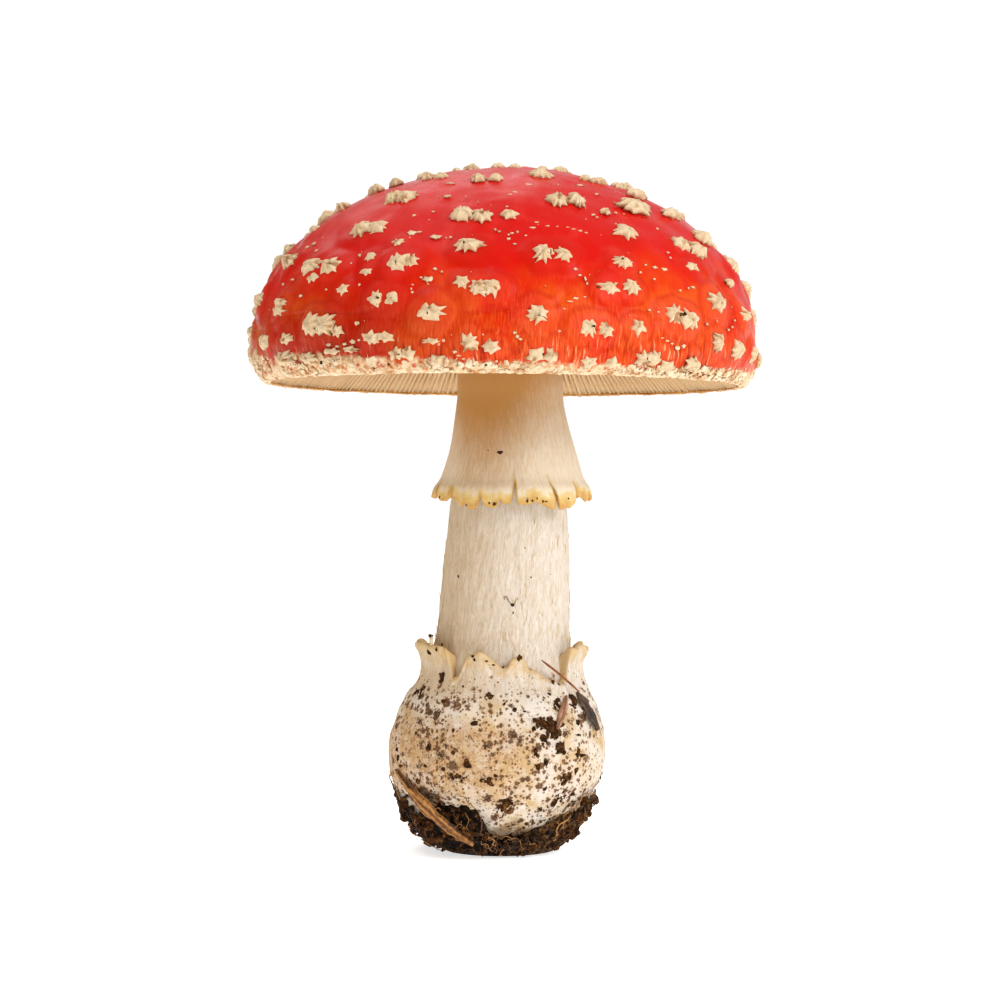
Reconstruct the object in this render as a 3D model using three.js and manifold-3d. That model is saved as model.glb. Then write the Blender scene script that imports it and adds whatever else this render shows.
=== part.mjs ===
// Fly agaric (Amanita muscaria): a full-grown fruiting body, picked with its swollen foot and
// standing upright on the soil that clings to it. Millimetres, +Z up, front is -Y.
// The origin is the middle of the flat of soil that it rests on.

import * as THREE from "three";
import { mergeVertices } from "three/addons/utils/BufferGeometryUtils.js";
import Module from "manifold-3d";

const wasm = await Module();
wasm.setup();

// ---- Driving dimensions ---------------------------------------------------------------------

const GAP = 0.3;

const CAP_RADIUS = 54.3;
const CAP_HEIGHT = 37.7;
const CAP_WAIST_Z = 108;
const CAP_RIM_Z = 99.8;
const CAP_RIM_RADIUS = 50.6;
const CAP_CENTRE_X = 1.0;
const CAP_TILT = 0.5 * Math.PI / 180;
const FLESH_TOP_Z = 131;

const GILL_PLATES = 48;
const GILL_EDGE = 0.7;
const GILL_ROOT = 1.1;
const GILL_WEB = 1.0;
const SHORT_GILL_REACH = 34;

const STEM_HEAD_Z = 130.5;
const FOOT_LEAN_X = -1.1;
const HEAD_LEAN_X = 2.2;
const LEAN_END_Z = 90;

const RING_TOP_Z = 95.9;
const RING_THICKNESS = 0.85;
const RING_SWING_X = 0.6;
const PLEATS = 22;

const WART_RISE = 1.9;
const WART_ROOT = 0.5;
const BACK_WART_COUNT = 150;
const BACK_WART_SPACING = 5.2;

/** Where an observer in front stands: the front warts are placed as sighted from here. */
const EYE = new THREE.Vector3(0, -509.3, 75.06);
const CROWN_SIGHT_Z = 140;

// ---- Small tools ----------------------------------------------------------------------------

/** Repeatable random numbers from 0 to 1. */
function randomFrom(seed) {
  let state = seed;
  return () => {
    state = (state * 1664525 + 1013904223) % 4294967296;
    return state / 4294967296;
  };
}

/** Value at x of the straight-line graph through the points [x, value]. */
function graph(points, x) {
  if (x <= points[0][0]) {
    return points[0][1];
  }
  for (let i = 1; i < points.length; i++) {
    const [x0, v0] = points[i - 1];
    const [x1, v1] = points[i];
    if (x <= x1) {
      return v0 + (v1 - v0) * (x - x0) / (x1 - x0);
    }
  }
  return points[points.length - 1][1];
}

/** Ripple round the axis, about -1 to 1, different for each phase. */
function ripple(angle, phase) {
  return 0.5 * Math.sin(3 * angle + phase)
    + 0.3 * Math.sin(7 * angle + 2.3 * phase)
    + 0.2 * Math.sin(13 * angle + 4.1 * phase);
}

/** The section's points moved sideways by a distance, to the left of its direction of travel. */
function offsetLine(points, distance) {
  return points.map(([r, z], i) => {
    const before = points[Math.max(i - 1, 0)];
    const after = points[Math.min(i + 1, points.length - 1)];
    const along = new THREE.Vector2(after[0] - before[0], after[1] - before[1]).normalize();
    return [r - along.y * distance, z + along.x * distance];
  });
}

/**
 * Closed skin round the axis. place(row, column) gives each point. The section either runs from
 * the axis round the outside to the axis again, or, as a loop, closes on itself.
 */
function skin(rows, columns, place, loop = false) {
  const positions = [];
  for (let row = 0; row < rows; row++) {
    for (let column = 0; column < columns; column++) {
      positions.push(...place(row, column));
    }
  }
  const indices = [];
  const last = loop ? rows : rows - 1;
  for (let row = 0; row < last; row++) {
    const below = row * columns;
    const above = ((row + 1) % rows) * columns;
    for (let column = 0; column < columns; column++) {
      const next = (column + 1) % columns;
      const startsOnAxis = !loop && row === 0;
      const endsOnAxis = !loop && row === rows - 2;
      if (!startsOnAxis) {
        indices.push(below + column, below + next, above + next);
      }
      if (!endsOnAxis) {
        indices.push(below + column, above + next, above + column);
      } else {
        indices[indices.length - 1] = above;
      }
      if (startsOnAxis) {
        indices[indices.length - 3] = 0;
      }
    }
  }
  const geometry = new THREE.BufferGeometry();
  geometry.setAttribute("position", new THREE.Float32BufferAttribute(positions, 3));
  geometry.setIndex(indices);
  return geometry;
}

function toSolid(geometry) {
  const merged = mergeVertices(geometry, 1e-4);
  return new wasm.Manifold(new wasm.Mesh({
    numProp: 3,
    vertProperties: new Float32Array(merged.getAttribute("position").array),
    triVerts: new Uint32Array(merged.getIndex().array),
  }));
}

function toGeometry(solid) {
  const mesh = solid.getMesh();
  const geometry = new THREE.BufferGeometry();
  geometry.setAttribute("position", new THREE.BufferAttribute(mesh.vertProperties, 3));
  geometry.setIndex(new THREE.BufferAttribute(mesh.triVerts, 1));
  geometry.computeVertexNormals();
  return geometry;
}

/** The largest body of a solid that cutting has left in several. */
function largestBody(solid) {
  const bodies = solid.decompose();
  return bodies.reduce((best, body) => (body.volume() > best.volume() ? body : best));
}

function piece(name, geometry, colour, roughness) {
  const material = new THREE.MeshStandardMaterial({ color: colour, roughness, metalness: 0 });
  material.name = name;
  const mesh = new THREE.Mesh(geometry, material);
  mesh.name = name;
  return mesh;
}

/** The stem leans a little: the middle of its section at a height. */
function leanX(z) {
  return THREE.MathUtils.lerp(FOOT_LEAN_X, HEAD_LEAN_X, THREE.MathUtils.smoothstep(z, 0, LEAN_END_Z));
}

// ---- Cap ------------------------------------------------------------------------------------
// A low dome rolled in at the edge, hollow beneath, with warts and a crust along the edge.

/** Radius of the red skin at a height: an ellipse above the waist, a tighter one below it. */
function capRadius(z) {
  if (z >= CAP_WAIST_Z) {
    const rise = Math.min((z - CAP_WAIST_Z) / CAP_HEIGHT, 1);
    return CAP_RADIUS * Math.sqrt(1 - rise * rise);
  }
  const drop = Math.min((CAP_WAIST_Z - z) / (CAP_WAIST_Z - CAP_RIM_Z), 1);
  return CAP_RIM_RADIUS + (CAP_RADIUS - CAP_RIM_RADIUS) * Math.sqrt(1 - drop * drop);
}

/** Underside of the flesh from the rim to the stem. */
const FLESH_LINE = [
  [50.3, 100.4],
  [51.4, 108],
  [45.5, 118.5],
  [32, 126.8],
  [15.5, FLESH_TOP_Z],
];
const SKIN_HEIGHTS = [100.2, 101.4, 103, 105.5, 110, 117, 123.5, 129.5, 135, 139.6, 143.2];
const CAP_COLUMNS = 54;

function capGeometry() {
  const section = [[0, FLESH_TOP_Z], ...FLESH_LINE.toReversed(), [CAP_RIM_RADIUS, CAP_RIM_Z]];
  const skinStart = section.length;
  SKIN_HEIGHTS.forEach((z) => section.push([capRadius(z), z]));
  section.push([0, CAP_WAIST_Z + CAP_HEIGHT]);
  return skin(section.length, CAP_COLUMNS, (row, column) => {
    const angle = 2 * Math.PI * column / CAP_COLUMNS;
    const [r, z] = section[row];
    const onCrust = row >= skinStart && row < skinStart + 3;
    const crust = onCrust ? 0.35 + 0.45 * Math.abs(ripple(3 * angle, row)) : 0;
    return [(r + crust) * Math.cos(angle), (r + crust) * Math.sin(angle), z];
  });
}

/** Warts of the front half as sighted from in front: [across, up, width, height]. */
const FRONT_WARTS = [
  [-46.2, 128.6, 3.0, 2.6], [-45.4, 126.0, 3.4, 3.4], [-40.2, 132.8, 2.4, 1.6],
  [-40.4, 124.9, 4.8, 4.4], [-36.5, 124.9, 4.6, 4.4], [-40.2, 122.4, 3.0, 2.8],
  [-33.9, 120.0, 3.2, 3.0], [-28.0, 127.1, 2.8, 2.2], [-28.8, 123.8, 3.2, 2.0],
  [-51.5, 117.6, 3.4, 3.6], [-47.0, 117.0, 3.4, 2.4], [-47.5, 115.2, 3.6, 2.6],
  [-50.2, 108.7, 3.4, 4.4], [-45.7, 109.4, 3.4, 2.8], [-53.6, 110.6, 2.0, 3.0],
  [-40.2, 112.4, 5.4, 5.6], [-37.6, 112.6, 5.0, 5.6], [-35.0, 111.2, 3.0, 2.6],
  [-52.3, 105.6, 2.2, 3.2], [-46.5, 105.4, 4.8, 3.6], [-41.2, 105.4, 4.4, 2.6],
  [-36.2, 106.8, 4.2, 1.6], [-32.2, 107.2, 4.0, 1.8], [-27.6, 109.7, 4.6, 3.8],
  [-24.6, 109.9, 4.4, 3.2], [-30.0, 133.0, 5.2, 3.8], [-26.4, 133.3, 4.4, 3.0],
  [-23.3, 139.3, 4.0, 3.2], [-20.4, 139.7, 4.0, 3.0], [-27.2, 141.2, 4.2, 2.0],
  [-22.8, 143.0, 3.2, 1.6], [-34.2, 137.4, 3.4, 1.8], [-15.4, 144.2, 3.6, 2.4],
  [-12.9, 144.4, 3.0, 2.2], [-10.0, 146.2, 2.4, 1.4], [-7.0, 146.6, 3.0, 1.7],
  [-5.0, 144.0, 4.0, 2.6], [-1.2, 144.2, 3.8, 2.4], [-1.0, 147.0, 3.4, 1.7],
  [2.8, 147.1, 3.0, 1.8], [5.2, 147.0, 2.6, 1.6], [8.2, 144.9, 6.0, 2.5],
  [9.0, 146.4, 2.4, 1.4], [12.8, 145.8, 4.4, 1.8], [18.0, 144.2, 2.8, 1.6],
  [20.8, 143.5, 3.8, 1.9], [-8.3, 136.3, 5.2, 3.6], [-4.2, 136.0, 4.9, 3.6],
  [1.7, 136.4, 3.8, 2.6], [-7.2, 129.8, 7.0, 3.4], [-22.2, 125.8, 5.8, 5.0],
  [-19.4, 126.2, 4.4, 3.8], [-22.2, 130.2, 3.2, 2.0], [-26.6, 118.2, 4.4, 4.2],
  [-23.2, 118.2, 4.0, 4.0], [-8.4, 122.0, 3.8, 3.2], [-4.6, 120.5, 5.0, 4.6],
  [-1.8, 120.8, 4.8, 4.6], [-15.0, 115.4, 7.0, 5.0], [-22.2, 106.5, 4.0, 3.0],
  [-19.8, 106.6, 3.6, 3.2], [-13.6, 105.3, 4.8, 2.8], [-15.0, 109.3, 4.6, 1.6],
  [-6.5, 108.9, 4.6, 4.4], [-1.9, 108.2, 4.4, 3.6], [12.0, 139.5, 5.2, 3.7],
  [15.9, 139.6, 4.2, 3.5], [9.2, 128.0, 5.4, 4.4], [13.3, 127.9, 4.8, 3.9],
  [26.0, 126.4, 5.2, 3.0], [23.3, 121.1, 5.6, 3.6], [28.0, 121.0, 4.8, 3.5],
  [7.9, 115.1, 5.4, 4.8], [18.8, 112.4, 4.6, 5.0], [22.2, 112.0, 4.6, 4.8],
  [7.6, 106.4, 4.8, 3.6], [11.0, 106.6, 4.6, 3.8], [19.4, 105.2, 4.8, 2.7],
  [24.0, 105.0, 3.2, 2.7], [28.5, 138.2, 7.0, 3.4], [29.2, 140.6, 4.6, 1.8],
  [26.6, 132.7, 5.6, 4.0], [36.4, 136.6, 4.0, 2.2], [43.0, 131.8, 4.4, 3.2],
  [38.5, 130.3, 3.8, 3.6], [42.2, 129.0, 4.0, 4.2], [22.4, 137.3, 2.4, 1.6],
  [41.0, 125.6, 3.4, 2.2], [49.1, 122.2, 2.2, 2.2], [49.4, 125.8, 2.6, 4.0],
  [46.4, 118.1, 4.2, 4.4], [52.2, 115.4, 3.0, 4.0], [37.2, 115.4, 4.4, 4.6],
  [40.4, 114.3, 4.8, 5.0], [29.5, 112.6, 3.8, 4.0], [46.7, 109.6, 3.0, 4.2],
  [50.9, 107.8, 3.0, 4.6], [54.1, 107.0, 2.0, 4.4], [31.0, 105.7, 4.4, 3.8],
  [33.2, 106.0, 3.6, 3.8], [36.3, 104.3, 4.0, 3.0], [41.7, 104.9, 4.0, 3.2],
];

/**
 * Where the sight line through (across, up) first meets the cap, or passes it closest. Warts
 * that stand against the sky on the crown lie a little beyond its brow.
 */
function sightedPoint(across, up) {
  const stretch = new THREE.Vector3(1 / CAP_RADIUS, 1 / CAP_RADIUS, 1 / CAP_HEIGHT);
  const centre = new THREE.Vector3(CAP_CENTRE_X, 0, CAP_WAIST_Z);
  const from = EYE.clone().sub(centre).multiply(stretch);
  const way = new THREE.Vector3(across, 0, up).sub(EYE).multiply(stretch).normalize();
  const closest = -from.dot(way);
  const missed = from.clone().addScaledVector(way, closest).lengthSq();
  const hit = from.addScaledVector(way, closest - Math.sqrt(Math.max(1 - missed, 0)));
  hit.normalize().divide(stretch);
  if (missed > 1 && up > CROWN_SIGHT_Z) {
    hit.y += 4 + 4 * Math.sin(1.7 * across);
    const flat = (hit.x * hit.x + hit.y * hit.y) / (CAP_RADIUS * CAP_RADIUS);
    hit.z = CAP_HEIGHT * Math.sqrt(1 - flat);
  }
  const z = Math.max(hit.z + CAP_WAIST_Z, CAP_RIM_Z + 1.2);
  return { angle: Math.atan2(hit.y, hit.x), z, scale: 1 + hit.y / -EYE.y };
}

/** Frame on the red skin: the point, across it level, down its slope and out of it. */
function skinFrame(angle, z) {
  const step = 0.2;
  const high = Math.min(z + step, CAP_WAIST_Z + CAP_HEIGHT - 0.05);
  const slope = (capRadius(high) - capRadius(high - 2 * step)) / (2 * step);
  const r = capRadius(z);
  const point = new THREE.Vector3(r * Math.cos(angle), r * Math.sin(angle), z);
  const across = new THREE.Vector3(-Math.sin(angle), Math.cos(angle), 0);
  const out = new THREE.Vector3(Math.cos(angle), Math.sin(angle), -slope).normalize();
  const down = across.clone().cross(out);
  return { point, across, down, out };
}

/** Star-shaped pyramid with its root sunk in the skin. */
function wartSolid(frame, halfAcross, halfDown, random) {
  const corners = halfAcross + halfDown > 5.4 ? 6 : 5;
  const rise = WART_RISE * Math.min((halfAcross + halfDown) / 4.6, 1.15);
  const spread = (rise + WART_ROOT) / rise;
  const turn = random() * Math.PI;
  const ring = [];
  for (let k = 0; k < 2 * corners; k++) {
    const angle = turn + (k + 0.3 * (random() - 0.5)) * Math.PI / corners;
    const reach = spread * (k % 2 ? 0.7 : 0.94 + 0.16 * random());
    const a = halfAcross * reach * Math.cos(angle);
    const b = halfDown * reach * Math.sin(angle);
    const sag = WART_ROOT + (a * a + b * b) / (2 * CAP_RADIUS);
    ring.push(frame.point.clone()
      .addScaledVector(frame.across, a)
      .addScaledVector(frame.down, b)
      .addScaledVector(frame.out, -sag));
  }
  const peak = frame.point.clone().addScaledVector(frame.out, rise);
  const root = frame.point.clone().addScaledVector(frame.out, -1.6);
  const positions = [peak, root, ...ring].flatMap((p) => [p.x, p.y, p.z]);
  const indices = [];
  for (let k = 0; k < ring.length; k++) {
    const here = 2 + k;
    const next = 2 + (k + 1) % ring.length;
    indices.push(0, next, here, 1, here, next);
  }
  const geometry = new THREE.BufferGeometry();
  geometry.setAttribute("position", new THREE.Float32BufferAttribute(positions, 3));
  geometry.setIndex(indices);
  return toSolid(geometry);
}

/** Frames and half sizes of all warts: the front as sighted, the back by the golden angle. */
function wartPlaces() {
  const places = FRONT_WARTS.map(([across, up, width, height]) => {
    const { angle, z, scale } = sightedPoint(across, up);
    const frame = skinFrame(angle, z);
    const seenAcross = Math.max(Math.abs(frame.across.x), 0.5);
    const seenDown = Math.max(Math.abs(frame.down.z), 0.55);
    return { frame, a: width * scale / 2 / seenAcross, b: height * scale / 2 / seenDown };
  });
  const random = randomFrom(11);
  const golden = Math.PI * (3 - Math.sqrt(5));
  for (let k = 0; k < BACK_WART_COUNT; k++) {
    const share = (k + 0.5) / BACK_WART_COUNT;
    const z = CAP_WAIST_Z - 5 + (CAP_HEIGHT + 4.6) * (1 - share) + 1.4 * (random() - 0.5);
    const frame = skinFrame(k * golden + 0.12 * (random() - 0.5), Math.min(z, 145));
    const size = 1.3 + 1.6 * random();
    const crowded = places.some((other) => (
      other.frame.point.distanceTo(frame.point) < BACK_WART_SPACING));
    if (frame.point.y > -8 && !crowded) {
      places.push({ frame, a: size * (0.9 + 0.4 * random()), b: size });
    }
  }
  return places;
}

function cap() {
  const random = randomFrom(5);
  const warts = wartPlaces().map(({ frame, a, b }) => wartSolid(frame, a, b, random));
  const solid = wasm.Manifold.union([toSolid(capGeometry()), ...warts]);
  return seatOnStem(toGeometry(solid));
}

/** Cap and gills sit a little off the stem's middle and tip slightly to the right. */
function seatOnStem(geometry) {
  geometry.translate(0, 0, -CAP_RIM_Z);
  geometry.rotateY(CAP_TILT);
  geometry.translate(CAP_CENTRE_X, 0, CAP_RIM_Z);
  return geometry;
}

// ---- Gills ----------------------------------------------------------------------------------
// Blades hung from a thin web under the flesh, every second one short of the stem.

/** Lower edge of a blade, one point for each of the flesh line. */
const GILL_EDGE_LINE = [
  [49.6, 100.6],
  [43.6, 105],
  [35, 111.4],
  [25.5, 117],
  [17, 120.4],
];

function gills() {
  const roof = offsetLine(FLESH_LINE, GAP);
  const web = offsetLine(FLESH_LINE, GAP + GILL_WEB);
  roof[0] = [49.9, 100.9];
  web[0] = [49.5, 101.2];
  const lines = FLESH_LINE.length;
  const geometry = skin(2 * lines, 4 * GILL_PLATES, (row, column) => {
    const plate = Math.floor(column / 4);
    const corner = column % 4;
    const onEdge = corner === 1 || corner === 2;
    const side = corner < 2 ? -1 : 1;
    const onRoof = row >= lines;
    const step = onRoof ? row - lines : lines - 1 - row;
    const isCutShort = plate % 2 === 1 && GILL_EDGE_LINE[step][0] < SHORT_GILL_REACH;
    const line = onRoof ? roof : (onEdge && !isCutShort ? GILL_EDGE_LINE : web);
    const [r, z] = line[step];
    const width = onEdge ? GILL_EDGE : GILL_ROOT;
    const angle = 2 * Math.PI * plate / GILL_PLATES + side * width / (2 * Math.max(r, 18));
    return [r * Math.cos(angle), r * Math.sin(angle), z];
  }, true);
  return seatOnStem(toGeometry(toSolid(geometry)));
}

// ---- Stem -----------------------------------------------------------------------------------
// Bulb, stipe and the torn volva rim that stands round the bulb's shoulder, grown as one.

const BULB_LINE = [
  [0, 2.2],
  [9.5, 3],
  [14.9, 5],
  [18.2, 8],
  [20.4, 11.5],
  [22.6, 15.8],
  [23.4, 20.5],
  [22.9, 25],
  [21.6, 29.5],
  [20.2, 32.3],
];
const STIPE_LINE = [
  [14.9, 41.5],
  [14.2, 48],
  [13.6, 60],
  [12.6, 73],
  [11.4, 83],
  [10.15, 95.9],
  [11.3, RING_TOP_Z + 0.4],
  [11.2, 108],
  [12, STEM_HEAD_Z],
  [0, STEM_HEAD_Z],
];

/** Height of the volva's torn rim round the bulb: [degrees from the right, height]. */
const VOLVA_RIM = [
  [0, 43.8], [18, 44], [30, 41], [60, 39.4], [85, 41.6], [110, 39], [140, 42.2], [165, 44.2],
  [190, 44.7], [215, 43.2], [228, 41.8], [238, 38.6], [250, 41], [262, 39.4], [278, 40.4],
  [291, 38], [305, 36.4], [320, 35.4], [332, 42.2], [345, 44], [360, 43.8],
];
const VOLVA_LIP = 1.1;
const STEM_COLUMNS = 40;

/** The four section points of the volva rim at an angle: outside, lip, lip's inside, groove. */
function volvaPoints(angle) {
  const degrees = (THREE.MathUtils.radToDeg(angle) + 360) % 360;
  const top = graph(VOLVA_RIM, degrees);
  const r = 18.3 - 0.8 * (44 - top) / 8;
  return [
    [18.5, 34.2],
    [r, top],
    [r - VOLVA_LIP, top - 0.15],
    [15.7, Math.min(top - 2, 37)],
  ];
}

function stemSolid() {
  const rows = BULB_LINE.length + 4 + STIPE_LINE.length;
  return toSolid(skin(rows, STEM_COLUMNS, (row, column) => {
    const angle = 2 * Math.PI * column / STEM_COLUMNS;
    const section = [...BULB_LINE, ...volvaPoints(angle), ...STIPE_LINE];
    const [r, z] = section[row];
    return [leanX(z) + r * Math.cos(angle), r * Math.sin(angle), z];
  }));
}

// ---- Ring -----------------------------------------------------------------------------------
// Pleated skirt that hangs free of the stem, with a thicker hem, torn in a few places.

const RING_LINE = [
  [17, 75.6],
  [16.8, 77.7],
  [15.2, 80.3],
  [13.1, 87.8],
  [11.4, RING_TOP_Z],
];
const RING_COLUMNS = 66;
/** Tears in the hem: [degrees from the right, height of the tear]. */
const RING_TEARS = [[38, 3], [115, 4], [196, 2.5], [266, 4.2], [289, 3.2]];

function ring() {
  const inner = RING_LINE.map(([r, z], i) => [r - (i < 2 ? 1.3 : 1) * RING_THICKNESS, z + 0.1]);
  inner[inner.length - 1] = [RING_LINE.at(-1)[0] - 0.75, RING_TOP_Z];
  const section = [...RING_LINE, ...inner.toReversed()];
  const geometry = skin(section.length, RING_COLUMNS, (row, column) => {
    const angle = 2 * Math.PI * column / RING_COLUMNS;
    const [baseR, baseZ] = section[row];
    const reach = THREE.MathUtils.clamp((RING_TOP_Z - baseZ) / (RING_TOP_Z - 75.6), 0, 1);
    const r = baseR + 0.45 * reach * Math.sin(PLEATS * angle + 1.5 * Math.sin(3 * angle));
    const degrees = THREE.MathUtils.radToDeg(angle);
    const torn = RING_TEARS.find(([at]) => Math.abs(degrees - at) < 180 / RING_COLUMNS);
    const lift = (torn ? torn[1] : 0.9 * ripple(angle, 1)) * Math.pow(reach, 4);
    const z = baseZ + lift;
    const x = leanX(z) + RING_SWING_X * THREE.MathUtils.smoothstep(reach, 0, 0.6);
    return [x + r * Math.cos(angle), r * Math.sin(angle), z];
  }, true);
  return toGeometry(toSolid(geometry));
}

// ---- Soil -----------------------------------------------------------------------------------
// Lumpy cup of soil round the foot, flat beneath, higher at the left.

/** Outer radius of the soil at a height. */
const SOIL_REACH = [[0, 12], [1.7, 15.4], [4.3, 18.2], [6.9, 19.9], [9.5, 21.1], [12, 22.2], [15, 23.4]];
const SOIL_COLUMNS = 40;

function soilTop(angle) {
  return 9.6 + 2.2 * Math.cos(angle - 3) + 1.3 * ripple(angle, 2);
}

function soilSolid() {
  const shares = [0.16, 0.42, 0.7, 1];
  const lump = toSolid(skin(3 + shares.length, SOIL_COLUMNS, (row, column) => {
    const angle = 2 * Math.PI * column / SOIL_COLUMNS;
    const top = soilTop(angle);
    const section = [[0, 0], [SOIL_REACH[0][1], 0]];
    shares.forEach((share, i) => {
      const bump = i < 3 ? 0.6 * ripple(2 * angle, i + 3) : 0;
      section.push([graph(SOIL_REACH, share * top) + bump, share * top]);
    });
    section.push([0, 12]);
    const [r, z] = section[row];
    return [leanX(z) * Math.min(z / 4, 1) + r * Math.cos(angle), r * Math.sin(angle), z];
  }));
  const bed = offsetLine(BULB_LINE, -GAP);
  bed.push([0, BULB_LINE.at(-1)[1]]);
  return lump.subtract(toSolid(skin(bed.length, STEM_COLUMNS, (row, column) => {
    const angle = 2 * Math.PI * column / STEM_COLUMNS;
    const [r, z] = bed[row];
    const side = row === 0 ? 0 : r;
    return [leanX(z) + side * Math.cos(angle), side * Math.sin(angle), z];
  })));
}

// ---- Litter ---------------------------------------------------------------------------------
// What the forest floor has left on the foot: bark, a bud scale and a needle.

/** Bent strip through the points, its flat side turned away from a middle point. */
function strip(points, middle, width, thickness, tip, grow = 0) {
  const curve = new THREE.CatmullRomCurve3(points);
  const steps = 6;
  const rings = [];
  for (let i = 0; i <= steps; i++) {
    const t = i / steps;
    const point = curve.getPoint(t);
    const along = curve.getTangent(t);
    const out = point.clone().sub(middle).projectOnPlane(along).normalize();
    const side = along.clone().cross(out);
    const taper = THREE.MathUtils.lerp(tip, 1, Math.sin(Math.PI * t) ** 0.6);
    const half = taper * width / 2 + grow;
    const low = -grow;
    const high = thickness + grow;
    const end = (i === 0 ? -1 : i === steps ? 1 : 0) * grow;
    const section = [[-half, low], [half, low], [0.55 * half, high], [-0.55 * half, high]];
    rings.push(section.map(([across, up]) => point.clone()
      .addScaledVector(along, end)
      .addScaledVector(side, across)
      .addScaledVector(out, up)));
  }
  const positions = rings.flat().flatMap((p) => [p.x, p.y, p.z]);
  const indices = [0, 1, 2, 0, 2, 3];
  for (let i = 0; i < steps; i++) {
    for (let k = 0; k < 4; k++) {
      const a = 4 * i + k;
      const b = 4 * i + (k + 1) % 4;
      indices.push(a, b + 4, b, a, a + 4, b + 4);
    }
  }
  const e = 4 * steps;
  indices.push(e, e + 2, e + 1, e, e + 3, e + 2);
  const geometry = new THREE.BufferGeometry();
  geometry.setAttribute("position", new THREE.Float32BufferAttribute(positions, 3));
  geometry.setIndex(indices);
  return geometry;
}

const BULB_MIDDLE = new THREE.Vector3(-0.6, 0, 20.5);

/** Point at a distance from the bulb's middle, through an (x, z) place on its front side. */
function onBulb(x, z, distance) {
  const dx = x - BULB_MIDDLE.x;
  const dz = z - BULB_MIDDLE.z;
  const y = -Math.sqrt(Math.max(distance * distance - dx * dx - dz * dz, 0));
  return new THREE.Vector3(x, y, z);
}

function barkStrip(grow = 0) {
  const points = [[-22, 18], [-18, 13.4], [-12.6, 8.6], [-6.5, 4.4]].map(([x, z]) => (
    onBulb(x, z, 23.6)));
  return strip(points, BULB_MIDDLE, 3, 1.3, 0.5, grow);
}

function barkFlake() {
  const points = [[16.2, 34.6], [18.8, 30.6], [20.8, 26.6]].map(([x, z]) => onBulb(x, z, 24.6));
  return strip(points, BULB_MIDDLE, 2.6, 0.8, 0.5);
}

function budScale() {
  const points = [[14, 33.6], [13.2, 31], [12.2, 28.2]].map(([x, z]) => onBulb(x, z, 24.3));
  return strip(points, BULB_MIDDLE, 1.7, 0.8, 0.4);
}

function needle() {
  const from = new THREE.Vector3(8.6, -15.2, 41.6);
  const to = new THREE.Vector3(16.6, -13.4, 34.8);
  const way = to.clone().sub(from);
  const geometry = new THREE.CylinderGeometry(0.32, 0.4, way.length(), 6);
  geometry.applyQuaternion(new THREE.Quaternion().setFromUnitVectors(
    new THREE.Vector3(0, 1, 0), way.clone().normalize()));
  return geometry.translate(...from.add(to).multiplyScalar(0.5).toArray());
}

// ---- The mushroom ---------------------------------------------------------------------------

const barkBed = toSolid(barkStrip(GAP));

const mushroom = new THREE.Group();
mushroom.name = "fly_agaric";
mushroom.add(
  piece("cap", cap(), 0xc8281c, 0.3),
  piece("gills", gills(), 0xd8bf94, 0.75),
  piece("stem", toGeometry(largestBody(stemSolid().subtract(barkBed))), 0xe8dcc6, 0.8),
  piece("ring", ring(), 0xe6cf9c, 0.75),
  piece("soil", toGeometry(largestBody(soilSolid().subtract(barkBed))), 0x2e2118, 0.95),
  piece("bark_strip", barkStrip(), 0x9a5526, 0.8),
  piece("bark_flake", barkFlake(), 0x4a3020, 0.85),
  piece("bud_scale", budScale(), 0xa87a62, 0.7),
  piece("needle", needle(), 0x8a6238, 0.7),
);

export default mushroom;
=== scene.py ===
"""Fly agaric mushroom standing on its foot, dressed for rendering over its CAD frame.

Blender works in metres, +Z up, front is -Y. Sizes in the sections below are millimetres, and
add_piece turns them into metres. Sizes inside materials are metres, as their coordinates are.
"""

from functools import partial

import bmesh
import bpy
import numpy as np
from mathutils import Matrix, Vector
from mathutils.bvhtree import BVHTree


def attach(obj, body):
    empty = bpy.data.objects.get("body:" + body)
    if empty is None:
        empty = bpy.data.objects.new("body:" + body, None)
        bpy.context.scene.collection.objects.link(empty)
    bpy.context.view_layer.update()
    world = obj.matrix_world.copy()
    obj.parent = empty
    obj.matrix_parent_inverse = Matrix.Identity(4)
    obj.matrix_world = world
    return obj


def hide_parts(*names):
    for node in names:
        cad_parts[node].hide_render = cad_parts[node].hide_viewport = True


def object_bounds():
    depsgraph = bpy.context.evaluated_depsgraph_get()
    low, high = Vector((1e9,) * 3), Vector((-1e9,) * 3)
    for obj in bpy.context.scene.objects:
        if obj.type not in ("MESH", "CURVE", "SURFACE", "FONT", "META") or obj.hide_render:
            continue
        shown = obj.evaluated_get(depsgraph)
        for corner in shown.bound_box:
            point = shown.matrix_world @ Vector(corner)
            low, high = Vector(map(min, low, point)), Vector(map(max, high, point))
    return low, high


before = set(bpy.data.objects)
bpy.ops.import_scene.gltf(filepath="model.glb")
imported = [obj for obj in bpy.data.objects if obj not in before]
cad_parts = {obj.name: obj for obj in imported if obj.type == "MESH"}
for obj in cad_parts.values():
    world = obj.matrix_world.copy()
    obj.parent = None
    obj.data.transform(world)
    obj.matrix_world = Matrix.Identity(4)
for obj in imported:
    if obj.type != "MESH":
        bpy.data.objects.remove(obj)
cad_low, cad_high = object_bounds()
scene = bpy.context.scene


# ---- Camera ---------------------------------------------------------------------------------
# Level, straight in front, at the height of the middle of the mushroom.

EYE = np.array([0.0, -509.3, 75.06])

camera_data = bpy.data.cameras.new("camera")
camera_data.lens = 85
camera_data.sensor_width = 36
camera_data.clip_end = 50
camera = bpy.data.objects.new("camera", camera_data)
camera.location = EYE / 1000
camera.rotation_euler = (np.pi / 2, 0, 0)
scene.collection.objects.link(camera)
scene.camera = camera


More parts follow.
